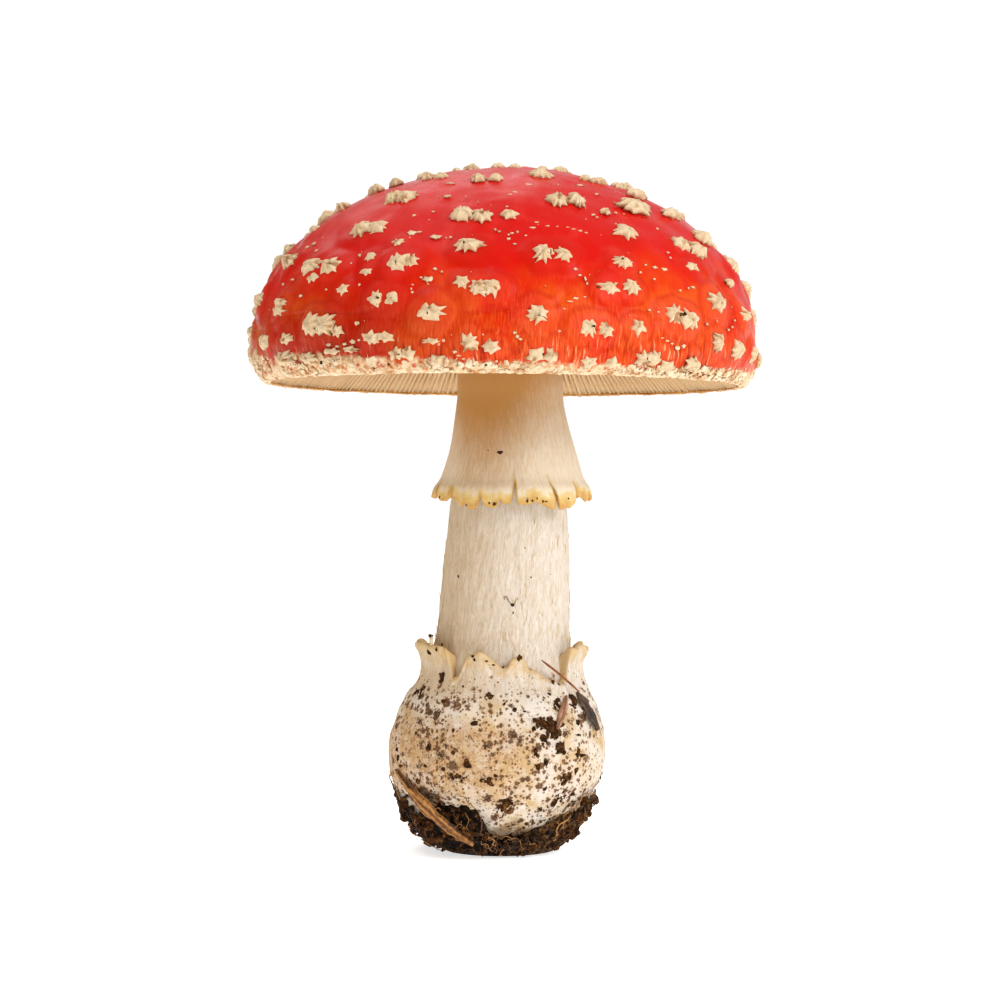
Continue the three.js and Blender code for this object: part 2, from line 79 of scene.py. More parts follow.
# ---- Floor and light ------------------------------------------------------------------------
# A plain pale floor in a plain pale room, one large soft light in front at the right, one above
# at the left, and one behind that gives the cap its sheen. The room is darker at the left.

SMOOTH = {"interpolation_type": "SMOOTHSTEP"}
COLOURS = {"data_type": "RGBA"}


def linear(hex_colour):
    """Linear RGBA of an sRGB hex colour: c / 12.92, and ((c + 0.055) / 1.055) ^ 2.4 if larger."""
    srgb = np.array([int(hex_colour[i:i + 2], 16) for i in (1, 3, 5)]) / 255
    rgb = np.where(srgb <= 0.04045, srgb / 12.92, ((srgb + 0.055) / 1.055) ** 2.4)
    return (*rgb.tolist(), 1.0)


def feed(node, **sockets):
    """Set or link a node's sockets by name, or by number as in _0; hex colours become linear."""
    for key, value in sockets.items():
        socket = node.inputs[int(key[1:]) if key[0] == "_" else key.replace("_", " ")]
        if isinstance(value, bpy.types.NodeSocket):
            node.id_data.links.new(value, socket)
        else:
            socket.default_value = linear(value) if isinstance(value, str) else value


def add_node(tree, kind, settings=None, output=0, stops=(), **sockets):
    """One output of a new node with its settings and sockets; stops are a ramp's (place, hex)."""
    node = tree.nodes.new("ShaderNode" + kind)
    for key, value in (settings or {}).items():
        setattr(node, key, value)
    feed(node, **sockets)
    for index, (place, colour) in enumerate(stops):
        elements = node.color_ramp.elements
        element = elements[index] if index < 2 else elements.new(place)
        element.position = place
        element.color = linear(colour)
    return node.outputs[output]


def new_material(name, **values):
    """Material with values on its shader's own sockets, that shader, and add_node for its tree."""
    material = bpy.data.materials.new(name)
    material.use_nodes = True
    shader = material.node_tree.nodes["Principled BSDF"]
    feed(shader, **values)
    return material, shader, partial(add_node, material.node_tree)


# Matt paper, lit a little from within so that it stays as pale as the room.
floor_paper, *_ = new_material("matt_white_floor", Base_Color="#efeeec", Roughness=0.9,
                               Emission_Color=(1, 1, 1, 1), Emission_Strength=0.66)
bpy.ops.mesh.primitive_plane_add(size=16, location=(0, 0, -0.0002))
floor = bpy.context.active_object
floor.name = "floor"
floor.data.materials.append(floor_paper)

world = bpy.data.worlds.new("pale_room")
scene.world = world
world.use_nodes = True
room_node = partial(add_node, world.node_tree)
towards = room_node("SeparateXYZ", Vector=room_node("TexCoord", output="Generated")).node.outputs


def room_mix(axis, low, high, first, second):
    """Room colour: the first below low and the second above high, along a direction's axis."""
    share = room_node("MapRange", SMOOTH, Value=towards[axis], From_Min=low, From_Max=high)
    return room_node("Mix", COLOURS, 2, _0=share, _6=first, _7=second)


WHITE = (1.06, 1.06, 1.06, 1)
sides = room_mix("X", -0.7, 0.5, (0.29, 0.215, 0.13, 1), (0.56, 0.57, 0.59, 1))
behind = room_mix("Y", 0.925, 0.95, sides, WHITE)
overhead = room_mix("Z", 0.55, 0.95, behind, (0.96, 0.92, 0.86, 1))
horizon = room_mix("Z", 0.03, 0.07, WHITE, overhead)
feed(world.node_tree.nodes["Background"], Color=horizon)

# Softboxes: name, place, height of the aim, width, height, watts, in metres.
for name, place, aim, width, height, watts in (
        ("key_softbox", (0.7, -0.62, 0.58), 0.08, 0.5, 0.5, 6.2),
        ("back_softbox", (-0.2, 0.56, 0.72), 0.12, 0.6, 0.35, 1.0),
        ("top_softbox", (-0.35, -0.12, 0.9), 0.12, 0.5, 0.5, 2.1)):
    light = bpy.data.lights.new(name, "AREA")
    light.shape = "RECTANGLE"
    light.size = width
    light.size_y = height
    light.energy = watts
    lamp = bpy.data.objects.new(name, light)
    lamp.location = place
    lamp.rotation_euler = (Vector((0, 0, aim)) - Vector(place)).to_track_quat("-Z", "Y").to_euler()
    scene.collection.objects.link(lamp)

scene.view_settings.view_transform = "Standard"


# ---- Cap skin -------------------------------------------------------------------------------
# The glossy red cuticle over the domed flesh: an ellipse above the waist, rolled in tighter
# below it, and hollow beneath, where the gills hang. It grows on the stem's head and tips half
# a degree to the right.

CAP_RADIUS = 54.3
CAP_HEIGHT = 37.7
CAP_WAIST_Z = 108.0
CAP_RIM_Z = 99.8
CAP_RIM_RADIUS = 50.6
CAP_CENTRE_X = 1.0
CAP_TILT = np.radians(0.5)
# Width plus height from which a wart lifts the skin in full and stands at its full rise.
FULL_WART = 4.6


def hashed(cells, seed):
    """Repeatable random numbers from -1 to 1, one for each row of whole numbers."""
    mixed = (cells[..., 0] * 374761393 + cells[..., 1] * 668265263
             + cells[..., 2] * 1440662683 + seed * 1013904223) & 0xFFFFFFFF
    mixed = ((mixed ^ (mixed >> 13)) * 1274126177) & 0xFFFFFFFF
    return (mixed ^ (mixed >> 16)) / 2147483648.0 - 1.0


def noise(points, size, seed=0, octaves=1):
    """Smooth random field, about -1 to 1: hashed corners of cells of a size, blended by 3t2 - 2t3.

    Each further octave has half the size and half the height.
    """
    total = np.zeros(points.shape[:-1])
    for octave in range(octaves):
        scaled = points * (2 ** octave / size) + 31.7 * seed
        cell = np.floor(scaled).astype(np.int64)
        part = smoothstep(scaled - cell, 0, 1)
        value = np.zeros(points.shape[:-1])
        for corner in np.ndindex(2, 2, 2):
            step = np.array(corner)
            weight = np.prod(np.where(step, part, 1 - part), axis=-1)
            value += weight * hashed(cell + step, seed + octave)
        total += value / 2 ** octave
    return total


def smoothstep(x, low, high):
    """3t2 - 2t3: 0 below low and 1 above high; high may be the lower of the two."""
    t = np.clip((x - low) / (high - low), 0, 1)
    return t * t * (3 - 2 * t)


def polar(r, angle, z, x=0):
    """Points (x + r cos angle, r sin angle, z) of radii, angles and heights."""
    return np.stack(np.broadcast_arrays(x + r * np.cos(angle), r * np.sin(angle), z), axis=-1)


def cap_radius(z):
    """Radius of the red skin at each height: one ellipse above the waist and one below it."""
    rise = np.clip((z - CAP_WAIST_Z) / CAP_HEIGHT, 0, 1)
    drop = np.clip((CAP_WAIST_Z - z) / (CAP_WAIST_Z - CAP_RIM_Z), 0, 1)
    above = CAP_RADIUS * np.sqrt(1 - rise ** 2)
    below = CAP_RIM_RADIUS + (CAP_RADIUS - CAP_RIM_RADIUS) * np.sqrt(1 - drop ** 2)
    return np.where(z >= CAP_WAIST_Z, above, below)


def skin_place(angle, z):
    """Point of the smooth skin at an angle and a height."""
    return polar(cap_radius(z), angle, z)


def seat_on_stem(points):
    """Points of the cap's own frame turned about Y by the tilt and moved over the stem."""
    x, y, z = points[..., 0], points[..., 1], points[..., 2] - CAP_RIM_Z
    cos, sin = np.cos(CAP_TILT), np.sin(CAP_TILT)
    return np.stack([x * cos + z * sin + CAP_CENTRE_X, y, z * cos - x * sin + CAP_RIM_Z], axis=-1)


# Warts of the front half as sighted from in front: across, up, width, height.
FRONT_WARTS = np.array([
    [-46.2, 128.6, 3.0, 2.6], [-45.4, 126.0, 3.4, 3.4], [-40.2, 132.8, 2.4, 1.6],
    [-40.4, 124.9, 4.8, 4.4], [-36.5, 124.9, 4.6, 4.4], [-40.2, 122.4, 3.0, 2.8],
    [-33.9, 120.0, 3.2, 3.0], [-28.0, 127.1, 2.8, 2.2], [-28.8, 123.8, 3.2, 2.0],
    [-51.5, 117.6, 3.4, 3.6], [-47.0, 117.0, 3.4, 2.4], [-47.5, 115.2, 3.6, 2.6],
    [-50.2, 108.7, 3.4, 4.4], [-45.7, 109.4, 3.4, 2.8], [-53.6, 110.6, 2.0, 3.0],
    [-40.2, 112.4, 5.4, 5.6], [-37.6, 112.6, 5.0, 5.6], [-35.0, 111.2, 3.0, 2.6],
    [-52.3, 105.6, 2.2, 3.2], [-46.5, 105.4, 4.8, 3.6], [-41.2, 105.4, 4.4, 2.6],
    [-36.2, 106.8, 4.2, 1.6], [-32.2, 107.2, 4.0, 1.8], [-27.6, 109.7, 4.6, 3.8],
    [-24.6, 109.9, 4.4, 3.2], [-30.0, 133.0, 5.2, 3.8], [-26.4, 133.3, 4.4, 3.0],
    [-23.3, 139.3, 4.0, 3.2], [-20.4, 139.7, 4.0, 3.0], [-27.2, 141.2, 4.2, 2.0],
    [-22.8, 143.0, 3.2, 1.6], [-34.2, 137.4, 3.4, 1.8], [-15.4, 144.2, 3.6, 2.4],
    [-12.9, 144.4, 3.0, 2.2], [-10.0, 146.2, 2.4, 1.4], [-7.0, 146.6, 3.0, 1.7],
    [-5.0, 144.0, 4.0, 2.6], [-1.2, 144.2, 3.8, 2.4], [-1.0, 147.0, 3.4, 1.7],
    [2.8, 147.1, 3.0, 1.8], [5.2, 147.0, 2.6, 1.6], [8.2, 144.9, 6.0, 2.5], [9.0, 146.4, 2.4, 1.4],
    [12.8, 145.8, 4.4, 1.8], [18.0, 144.2, 2.8, 1.6], [20.8, 143.5, 3.8, 1.9],
    [-8.3, 136.3, 5.2, 3.6], [-4.2, 136.0, 4.9, 3.6], [1.7, 136.4, 3.8, 2.6],
    [-7.2, 129.8, 7.0, 3.4], [-22.2, 125.8, 5.8, 5.0], [-19.4, 126.2, 4.4, 3.8],
    [-22.2, 130.2, 3.2, 2.0], [-26.6, 118.2, 4.4, 4.2], [-23.2, 118.2, 4.0, 4.0],
    [-8.4, 122.0, 3.8, 3.2], [-4.6, 120.5, 5.0, 4.6], [-1.8, 120.8, 4.8, 4.6],
    [-15.0, 115.4, 7.0, 5.0], [-22.2, 106.5, 4.0, 3.0], [-19.8, 106.6, 3.6, 3.2],
    [-13.6, 105.3, 4.8, 2.8], [-15.0, 109.3, 4.6, 1.6], [-6.5, 108.9, 4.6, 4.4],
    [-1.9, 108.2, 4.4, 3.6], [12.0, 139.5, 5.2, 3.7], [15.9, 139.6, 4.2, 3.5],
    [9.2, 128.0, 5.4, 4.4], [13.3, 127.9, 4.8, 3.9], [26.0, 126.4, 5.2, 3.0],
    [23.3, 121.1, 5.6, 3.6], [28.0, 121.0, 4.8, 3.5], [7.9, 115.1, 5.4, 4.8],
    [18.8, 112.4, 4.6, 5.0], [22.2, 112.0, 4.6, 4.8], [7.6, 106.4, 4.8, 3.6],
    [11.0, 106.6, 4.6, 3.8], [19.4, 105.2, 4.8, 2.7], [24.0, 105.0, 3.2, 2.7],
    [28.5, 138.2, 7.0, 3.4], [29.2, 140.6, 4.6, 1.8], [26.6, 132.7, 5.6, 4.0],
    [36.4, 136.6, 4.0, 2.2], [43.0, 131.8, 4.4, 3.2], [38.5, 130.3, 3.8, 3.6],
    [42.2, 129.0, 4.0, 4.2], [22.4, 137.3, 2.4, 1.6], [41.0, 125.6, 3.4, 2.2],
    [49.1, 122.2, 2.2, 2.2], [49.4, 125.8, 2.6, 4.0], [46.4, 118.1, 4.2, 4.4],
    [52.2, 115.4, 3.0, 4.0], [37.2, 115.4, 4.4, 4.6], [40.4, 114.3, 4.8, 5.0],
    [29.5, 112.6, 3.8, 4.0], [46.7, 109.6, 3.0, 4.2], [50.9, 107.8, 3.0, 4.6],
    [54.1, 107.0, 2.0, 4.4], [31.0, 105.7, 4.4, 3.8], [33.2, 106.0, 3.6, 3.8],
    [36.3, 104.3, 4.0, 3.0], [41.7, 104.9, 4.0, 3.2],
])
# The others lie behind this y, apart by at least this distance, on a spiral of so many places.
BACK_WARTS_Y = -8
BACK_WART_GAP = 5.2
BACK_WART_PLACES = 150


def sighted_place(across, up):
    """Point of the cap, in its own frame, that the sight line from the eye meets or just misses.

    The line is cut with the dome squeezed to a unit ball. Warts that stand against the sky on
    the crown lie a little beyond its brow.
    """
    stretch = 1 / np.array([CAP_RADIUS, CAP_RADIUS, CAP_HEIGHT])
    start = (EYE - [CAP_CENTRE_X, 0, CAP_WAIST_Z]) * stretch
    way = (np.array([across, 0, up]) - EYE) * stretch
    way /= np.linalg.norm(way)
    closest = -start @ way
    missed = np.sum((start + closest * way) ** 2)
    hit = start + (closest - np.sqrt(max(1 - missed, 0))) * way
    hit = hit / np.linalg.norm(hit) / stretch
    if missed > 1 and up > 140:
        hit[1] += 4 + 4 * np.sin(1.7 * across)
        hit[2] = CAP_HEIGHT * np.sqrt(1 - (hit[0] ** 2 + hit[1] ** 2) / CAP_RADIUS ** 2)
    return skin_place(np.arctan2(hit[1], hit[0]), max(hit[2] + CAP_WAIST_Z, CAP_RIM_Z + 1.2))


def on_skin(points):
    """The points put on the red skin, and the skin's outward directions there.

    A point goes out from the dome's middle, or level below the waist; the direction is the
    gradient of the ellipse.
    """
    x, y, z = points[..., 0], points[..., 1], points[..., 2]
    scale = 1 / np.sqrt((x ** 2 + y ** 2) / CAP_RADIUS ** 2
                        + ((z - CAP_WAIST_Z) / CAP_HEIGHT) ** 2)
    level = np.where(z >= CAP_WAIST_Z, CAP_WAIST_Z + (z - CAP_WAIST_Z) * scale, z)
    level = np.maximum(level, CAP_RIM_Z + 0.05)
    flat = np.maximum(np.hypot(x, y), 1e-6)
    r = cap_radius(level)
    put = np.stack([x / flat * r, y / flat * r, level], axis=-1)
    above = level >= CAP_WAIST_Z
    out_r = np.where(above, r / CAP_RADIUS ** 2,
                     (r - CAP_RIM_RADIUS) / (CAP_RADIUS - CAP_RIM_RADIUS) ** 2)
    out_z = (level - CAP_WAIST_Z) / np.where(above, CAP_HEIGHT, CAP_WAIST_Z - CAP_RIM_Z) ** 2
    out = np.stack([x / flat * out_r, y / flat * out_r, out_z], axis=-1)
    return put, out / np.linalg.norm(out, axis=-1, keepdims=True)


def skin_axes(point):
    """Level and downhill directions of the skin at a point."""
    _, out = on_skin(point)
    across = np.array([-point[1], point[0], 0.0]) / max(np.hypot(point[0], point[1]), 1e-6)
    return across, np.cross(across, out)


def wart_places(rng):
    """Points with half widths across and down: the front as sighted, the back on a spiral.

    The spiral turns by the golden angle and skips places that are crowded or in front.
    """
    places = []
    for across, up, width, height in FRONT_WARTS:
        point = sighted_place(across, up)
        level, down = skin_axes(point)
        nearer = 1 + point[1] / -EYE[1]
        places.append((point, width * nearer / 2 / max(abs(level[0]), 0.5),
                       height * nearer / 2 / max(abs(down[2]), 0.55)))
    golden_angle = np.pi * (3 - np.sqrt(5))
    for k in range(BACK_WART_PLACES):
        z = (CAP_WAIST_Z - 5 + (CAP_HEIGHT + 4.6) * (1 - (k + 0.5) / BACK_WART_PLACES)
             + rng.uniform(-0.7, 0.7))
        point = skin_place(k * golden_angle + rng.uniform(-0.06, 0.06), min(z, 145))
        size = rng.uniform(1.3, 2.9)
        crowded = any(np.linalg.norm(point - other[0]) < BACK_WART_GAP for other in places)
        if point[1] > BACK_WARTS_Y and not crowded:
            places.append((point, size * rng.uniform(0.9, 1.3), size))
            if rng.random() < 0.45:
                level, down = skin_axes(point)
                twin = point + size * (1.5 * rng.choice([-1, 1]) * level
                                       + rng.uniform(-0.6, 0.6) * down)
                places.append((on_skin(twin)[0], 0.9 * size, size * rng.uniform(0.7, 1)))
    return places


def smooth_line(points, count):
    """Catmull-Rom curve through the points, at evenly spaced places along it."""
    points = np.array(points, dtype=float)
    padded = np.vstack([2 * points[0] - points[1], points, 2 * points[-1] - points[-2]])
    t = np.linspace(0, 1, 24, endpoint=False)[:, None]
    pieces = []
    for p0, p1, p2, p3 in zip(padded, padded[1:], padded[2:], padded[3:]):
        pieces.append(0.5 * (2 * p1 + (p2 - p0) * t + (2 * p0 - 5 * p1 + 4 * p2 - p3) * t ** 2
                             + (3 * p1 - 3 * p2 + p3 - p0) * t ** 3))
    curve = np.vstack([*pieces, points[-1:]])
    run = np.concatenate([[0], np.cumsum(np.linalg.norm(np.diff(curve, axis=0), axis=1))])
    places = np.linspace(0, run[-1], count)
    return np.stack([np.interp(places, run, curve[:, k]) for k in range(curve.shape[1])], axis=-1)


def ring_faces(rows, columns, loop=False):
    """Quads of a (rows, columns) grid that closes round its columns, and its rows if a loop."""
    row = np.arange(rows if loop else rows - 1)[:, None]
    column = np.arange(columns)[None, :]
    here, right = row * columns, (column + 1) % columns
    above = ((row + 1) % rows) * columns
    quads = np.stack(np.broadcast_arrays(here + column, here + right, above + right,
                                         above + column), axis=-1)
    return quads.reshape(-1, 4)


def skin_body(grid):
    """Body of a closed round skin whose first and last grid rows draw together in poles.

    A body is its points, its quads and its triangles.
    """
    rows, columns = grid.shape[:2]
    points = np.vstack([grid[1:-1].reshape(-1, 3), grid[0].mean(axis=0), grid[-1].mean(axis=0)])
    column = np.arange(columns)
    right, pole, last = (column + 1) % columns, 0 * column + len(points), (rows - 3) * columns
    fans = np.vstack([np.stack([pole - 2, right, column], axis=1),
                      np.stack([pole - 1, last + column, last + right], axis=1)])
    return points, ring_faces(rows - 2, columns), fans


def loop_body(grid, order=1):
    """Body of a grid that closes round both ways; order -1 turns its faces over."""
    quads = ring_faces(*grid.shape[:2], loop=True)[:, ::order]
    return grid.reshape(-1, 3), quads, np.zeros((0, 3), int)


def add_piece(name, body, material, slot, node=None, **values):
    """New smooth-shaded object from a body in mm, with an attribute for each of the values.

    Tips that would stand out of the mushroom's measured box are pressed flat inside it.
    """
    points, quads, triangles = body
    mesh = bpy.data.meshes.new(name)
    inside = np.clip(points / 1000, np.array(cad_low) + 1e-5, np.array(cad_high) - 1e-5)
    mesh.from_pydata(inside.tolist(), [], quads.tolist() + triangles.tolist())
    for key, value in values.items():
        kind, field = ("FLOAT", "value") if value.ndim == 1 else ("FLOAT_VECTOR", "vector")
        layer = mesh.attributes.new(key, kind, "POINT")
        layer.data.foreach_set(field, value.astype(np.float32).ravel())
    mesh.materials.append(material)
    mesh.shade_smooth()
    mesh.validate()
    piece = bpy.data.objects.new(name, mesh)
    scene.collection.objects.link(piece)
    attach(piece, "root")
    if node:
        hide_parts(node)
    return piece


PLUS = {"operation": "ADD"}
TIMES = {"operation": "MULTIPLY"}
SHADE = {**COLOURS, "blend_type": "MULTIPLY"}


def share_of(node, *factors):
    """Product of factors: numbers, sockets, or bands (value, low, high, first, second).

    A band goes smoothly from first to second, or 0 to 1, as its value goes from low to high.
    """
    product = None
    for factor in factors:
        if isinstance(factor, tuple):
            factor = node("MapRange", SMOOTH, **{f"_{k}": part for k, part in enumerate(factor)})
        product = factor if product is None else node("Math", TIMES, _0=product, _1=factor)
    return product


def laid_over(node, base, *layers):
    """Base colour under layers (colour, factors), each laid on by the product of its factors."""
    for colour, *factors in layers:
        base = node("Mix", COLOURS, 2, _0=share_of(node, *factors), _6=base, _7=colour)
    return base


def cap_skin_material():
    """Moist gelatinous cuticle, red, and orange towards the margin, stretched over the flesh.

    To the eye: a soft gloss; lighter cushions round the warts with darker folds between them,
    which are painted highlight and painted shade; fine wrinkles of 0.27 mm and streaks of 0.6 mm
    down the slope, pale on their crests as painted highlight and dark between as painted shade;
    painted shade towards the lower left; and flocks of veil at the margin.
    """
    material, shader, node = new_material(
        "glossy_red_cuticle", Coat_Weight=0.03, Coat_Roughness=0.2, Specular_IOR_Level=0.08,
        Specular_Tint="#ffb9a8")
    place = node("TexCoord", output="Object")
    x, _, z = node("SeparateXYZ", Vector=place).node.outputs
    flow = node("Attribute", {"attribute_name": "flow"}, "Vector")
    crust = node("Attribute", {"attribute_name": "crust"}, "Fac")
    under = node("Attribute", {"attribute_name": "under"}, "Fac")
    clouds = node("TexNoise", Vector=place, Scale=1000 / 16, Detail=3, Roughness=0.55)
    groups = node("TexNoise", Vector=place, Scale=1000 / 6, Detail=3, Roughness=0.55)
    blotches = node("TexNoise", Vector=place, Scale=1000 / 8, Detail=2, Roughness=0.55)
    flocks = node("TexNoise", Vector=place, Scale=1000 / 1.5, Detail=4, Roughness=0.65)
    wear = node("TexNoise", Vector=place, Scale=1000 / 5, Detail=4, Roughness=0.55)
    grain = node("TexNoise", Vector=place, Scale=1000 / 2.5, Detail=4, Roughness=0.55)
    streaks = node("TexNoise", Vector=flow, Scale=1000 / 0.6, Detail=3, Roughness=0.55,
                   Distortion=0.3)
    fine_wrinkles = node("TexNoise", Vector=flow, Scale=1000 / 0.27, Detail=2, Roughness=0.55)
    low = share_of(node, (z, 0.134, 0.108))
    # The term in x is painted light and shade: the ramp runs deeper red towards the left and more
    # orange towards the right, where the key light is.
    sway = node("Math", PLUS, _0=share_of(node, (clouds, 0.3, 0.7, -0.35, 0.35)),
                _1=share_of(node, (x, -0.045, 0.02, -0.18, 0.06)))
    base = node("ValToRGB", _0=node("Math", PLUS, _0=low, _1=sway), stops=(
        (0.0, "#c4110c"), (0.4, "#c71209"), (0.75, "#cb2807"), (1.0, "#d2480e")))
    swell = share_of(node, node("Attribute", {"attribute_name": "swell"}, "Fac"), low)
    painted_wrinkle_light_band = share_of(node, (z, 0.122, 0.107), (x, -0.03, 0.012, 0.12, 0.3))
    margin = share_of(node, (z, 0.1105, 0.103))
    base = laid_over(
        node, base,
        # Painted highlight on the cushions round the warts and painted shade in the folds at their
        # edge.
        ("#d6402f", swell, 0.45),
        ("#b81504", (swell, 0.02, 0.2), (swell, 0.6, 0.3), 0.45),
        # Painted highlight on the crests of the fine wrinkles and painted shade between them,
        # stronger at the right.
        ("#e8793f", painted_wrinkle_light_band, (fine_wrinkles, 0.5, 0.66)),
        ("#a01905", painted_wrinkle_light_band, (fine_wrinkles, 0.48, 0.34)),
        # Painted highlight on the crests of the streaks near the margin and painted shade in the
        # furrows between them.
        ("#e3a071", margin, (streaks, 0.57, 0.65), (groups, 0.44, 0.6),
         (x, -0.03, 0.01, 0.8, 0.85)),
        ("#8a1806", margin, (streaks, 0.46, 0.36), 0.65),
        ("#d84038", (blotches, 0.58, 0.72), 0.25))
    # Painted shade: the lower left of the skin, away from the key light, is multiplied darker.
    painted_shade_lower_left = share_of(node, (z, 0.122, 0.108), (x, 0.006, -0.034))
    base = node("Mix", SHADE, 2, _0=painted_shade_lower_left, _6=base, _7=(0.72, 0.86, 0.7, 1.0))
    veil = node("ValToRGB", _0=flocks, stops=(
        (0.33, "#9e4a1c"), (0.42, "#c68f60"), (0.56, "#dfc9a6")))
    base = laid_over(node, base, (veil, crust), ("#c99a5c", under))
    bump = node("Bump", Height=share_of(node, streaks, (z, 0.118, 0.106, 0.3, 1)),
                Distance=0.00035, Strength=0.5)
    bump = node("Bump", Height=fine_wrinkles, Distance=0.00004, Strength=0.25, Normal=bump)
    bump = node("Bump", Height=grain, Distance=0.00012, Strength=0.4, Normal=bump)
    feed(shader, Base_Color=base, Normal=bump,
         Roughness=share_of(node, (wear, 0.35, 0.65, 0.24, 0.38)))
    return material


# Section of the skin's underside, from the middle to the margin: radius and height.
UNDER_LINE = [[0, 131], [15.5, 131], [32, 126.8], [45.5, 118.5], [51.2, 108], [50.3, 100.4]]
UNDER_ROWS = 12
MARGIN_ROWS = 30
# Height of the top of the flocky band along the margin, by degrees from the right.
CRUST_TOP = [[0, 103.0], [60, 103.0], [120, 102.8], [180, 104.6], [215, 104.4], [240, 103.0],
             [262, 102.1], [285, 101.7], [310, 101.7], [335, 102.5], [360, 103.0]]


def at_angle(table, angle):
    """Value at an angle of a table of (degrees from the right, value)."""
    return np.interp(np.degrees(angle) % 360, *np.transpose(table))


def swelling(grid, warts):
    """How much the skin swells at each point: 1 under the larger warts, 0 between them.

    It falls from half a wart's size to just beyond it, over distances that noise bends.
    """
    swell = np.zeros(grid.shape[:2])
    bent = 1 + 0.22 * noise(grid, 5, 61, 2)
    for point, half_across, half_down in warts:
        size = half_across + half_down
        away = np.linalg.norm(grid - point, axis=-1) * bent
        near = min(size / FULL_WART, 1) * smoothstep(away, 0.95 * size + 1.4, 0.45 * size)
        swell = np.maximum(swell, near)
    return swell


def cap_skin_grid(warts, columns=400, rows=176):
    """Skin from its underside's pole round the rim to the crown, with its attributes.

    The section is turned round the axis and moved along its outward direction by a relief:
    broad and small noise, wrinkles near the margin, cushions at the warts and folds between.
    """
    angle = np.linspace(0, 2 * np.pi, columns, endpoint=False)
    under = smooth_line(UNDER_LINE, UNDER_ROWS)
    lift = np.linspace(0, 1, MARGIN_ROWS)[:, None] * np.pi / 2
    margin = np.hstack([CAP_RIM_RADIUS + (CAP_RADIUS - CAP_RIM_RADIUS) * np.sin(lift),
                        CAP_WAIST_Z - (CAP_WAIST_Z - CAP_RIM_Z) * np.cos(lift)])
    lift = np.linspace(0, 1, rows - MARGIN_ROWS)[1:, None] * np.pi / 2
    dome = np.hstack([CAP_RADIUS * np.cos(lift), CAP_WAIST_Z + CAP_HEIGHT * np.sin(lift)])
    dome[-1, 0] = 0
    section = np.vstack([under, margin, dome])
    r, z = section[:, None, 0], section[:, None, 1]
    row = np.arange(len(section))[:, None]
    grid = polar(r, angle, z)
    run = np.concatenate([[0], np.cumsum(np.linalg.norm(np.diff(section, axis=0), axis=1))])
    out = polar(r / CAP_RADIUS ** 2, angle, (z - CAP_WAIST_Z) / CAP_HEIGHT ** 2)
    out /= np.linalg.norm(out, axis=-1, keepdims=True)
    flow = polar(54, angle + 0.02 * noise(grid, 9, 5), 0.14 * run[:, None])
    wrinkle = 1 - np.abs(noise(flow, 2.6, 3, 2))
    patch = smoothstep(noise(grid, 13, 8), -0.25, 0.35)
    near_margin = smoothstep(z, 114, 109) * smoothstep(z, 100.2, 102)
    swell = swelling(grid, warts)
    relief = (0.5 * noise(grid, 13, 1) + 0.2 * noise(grid, 5.5, 2, 2)
              + 0.5 * (wrinkle - 0.8) * near_margin * patch
              + 0.75 * (swell - 0.5) * smoothstep(z, 136, 120) * smoothstep(z, 103, 106)
              - 0.32 * np.exp(-(noise(grid * [1, 1, 1.6], 12, 38) / 0.1) ** 2)
              * smoothstep(z, 124, 114) * smoothstep(z, 103, 105.5))
    grid = grid + out * (relief * smoothstep(row, UNDER_ROWS, 20))[..., None]
    edge = at_angle(CRUST_TOP, angle) + 0.5 * noise(flow, 1.1, 9, 2) - 0.2
    gaps = smoothstep(noise(grid, 1.6, 10, 2), -0.55, -0.1) + smoothstep(z, 101.0, 100.5)
    crust = smoothstep(z, edge + 0.5, edge - 0.6) * np.clip(gaps, 0, 1)
    return grid, {"flow": flow / 1000, "crust": crust, "swell": swell,
                  "under": smoothstep(row, 14, UNDER_ROWS) + 0 * angle}


def pole_values(grid):
    """Values of a grid in the order of skin_body's points."""
    rows = grid[1:-1].reshape(-1, *grid.shape[2:])
    return np.concatenate([rows, grid[0, :1], grid[-1, :1]])


wart_rng = np.random.default_rng(11)
cap_warts = wart_places(wart_rng)
skin_grid, skin_values = cap_skin_grid(cap_warts)
skin_piece = add_piece("cap_skin", skin_body(seat_on_stem(skin_grid)), cap_skin_material(), "cap",
                       "cap", **{key: pole_values(value) for key, value in skin_values.items()})


# ---- Warts ----------------------------------------------------------------------------------
# Dry cream remains of the veil that wrapped the young mushroom and tore as the cap grew: thick
# star-shaped flakes with ridges that rise to a peak, often two or three grown together, each
# stuck fast to the skin.

WART_RISE = 1.25
WART_RINGS = [0, 0.14, 0.3, 0.46, 0.62, 0.78, 0.9, 1.0]
# Side of a flake below its outline: share of the outline, share of the edge's thickness. The
# last ring is sunk in the skin by its second number, in mm.
FLAKE_SIDE = [[0.99, 0.45], [0.97, 0.0], [0.9, -0.7]]


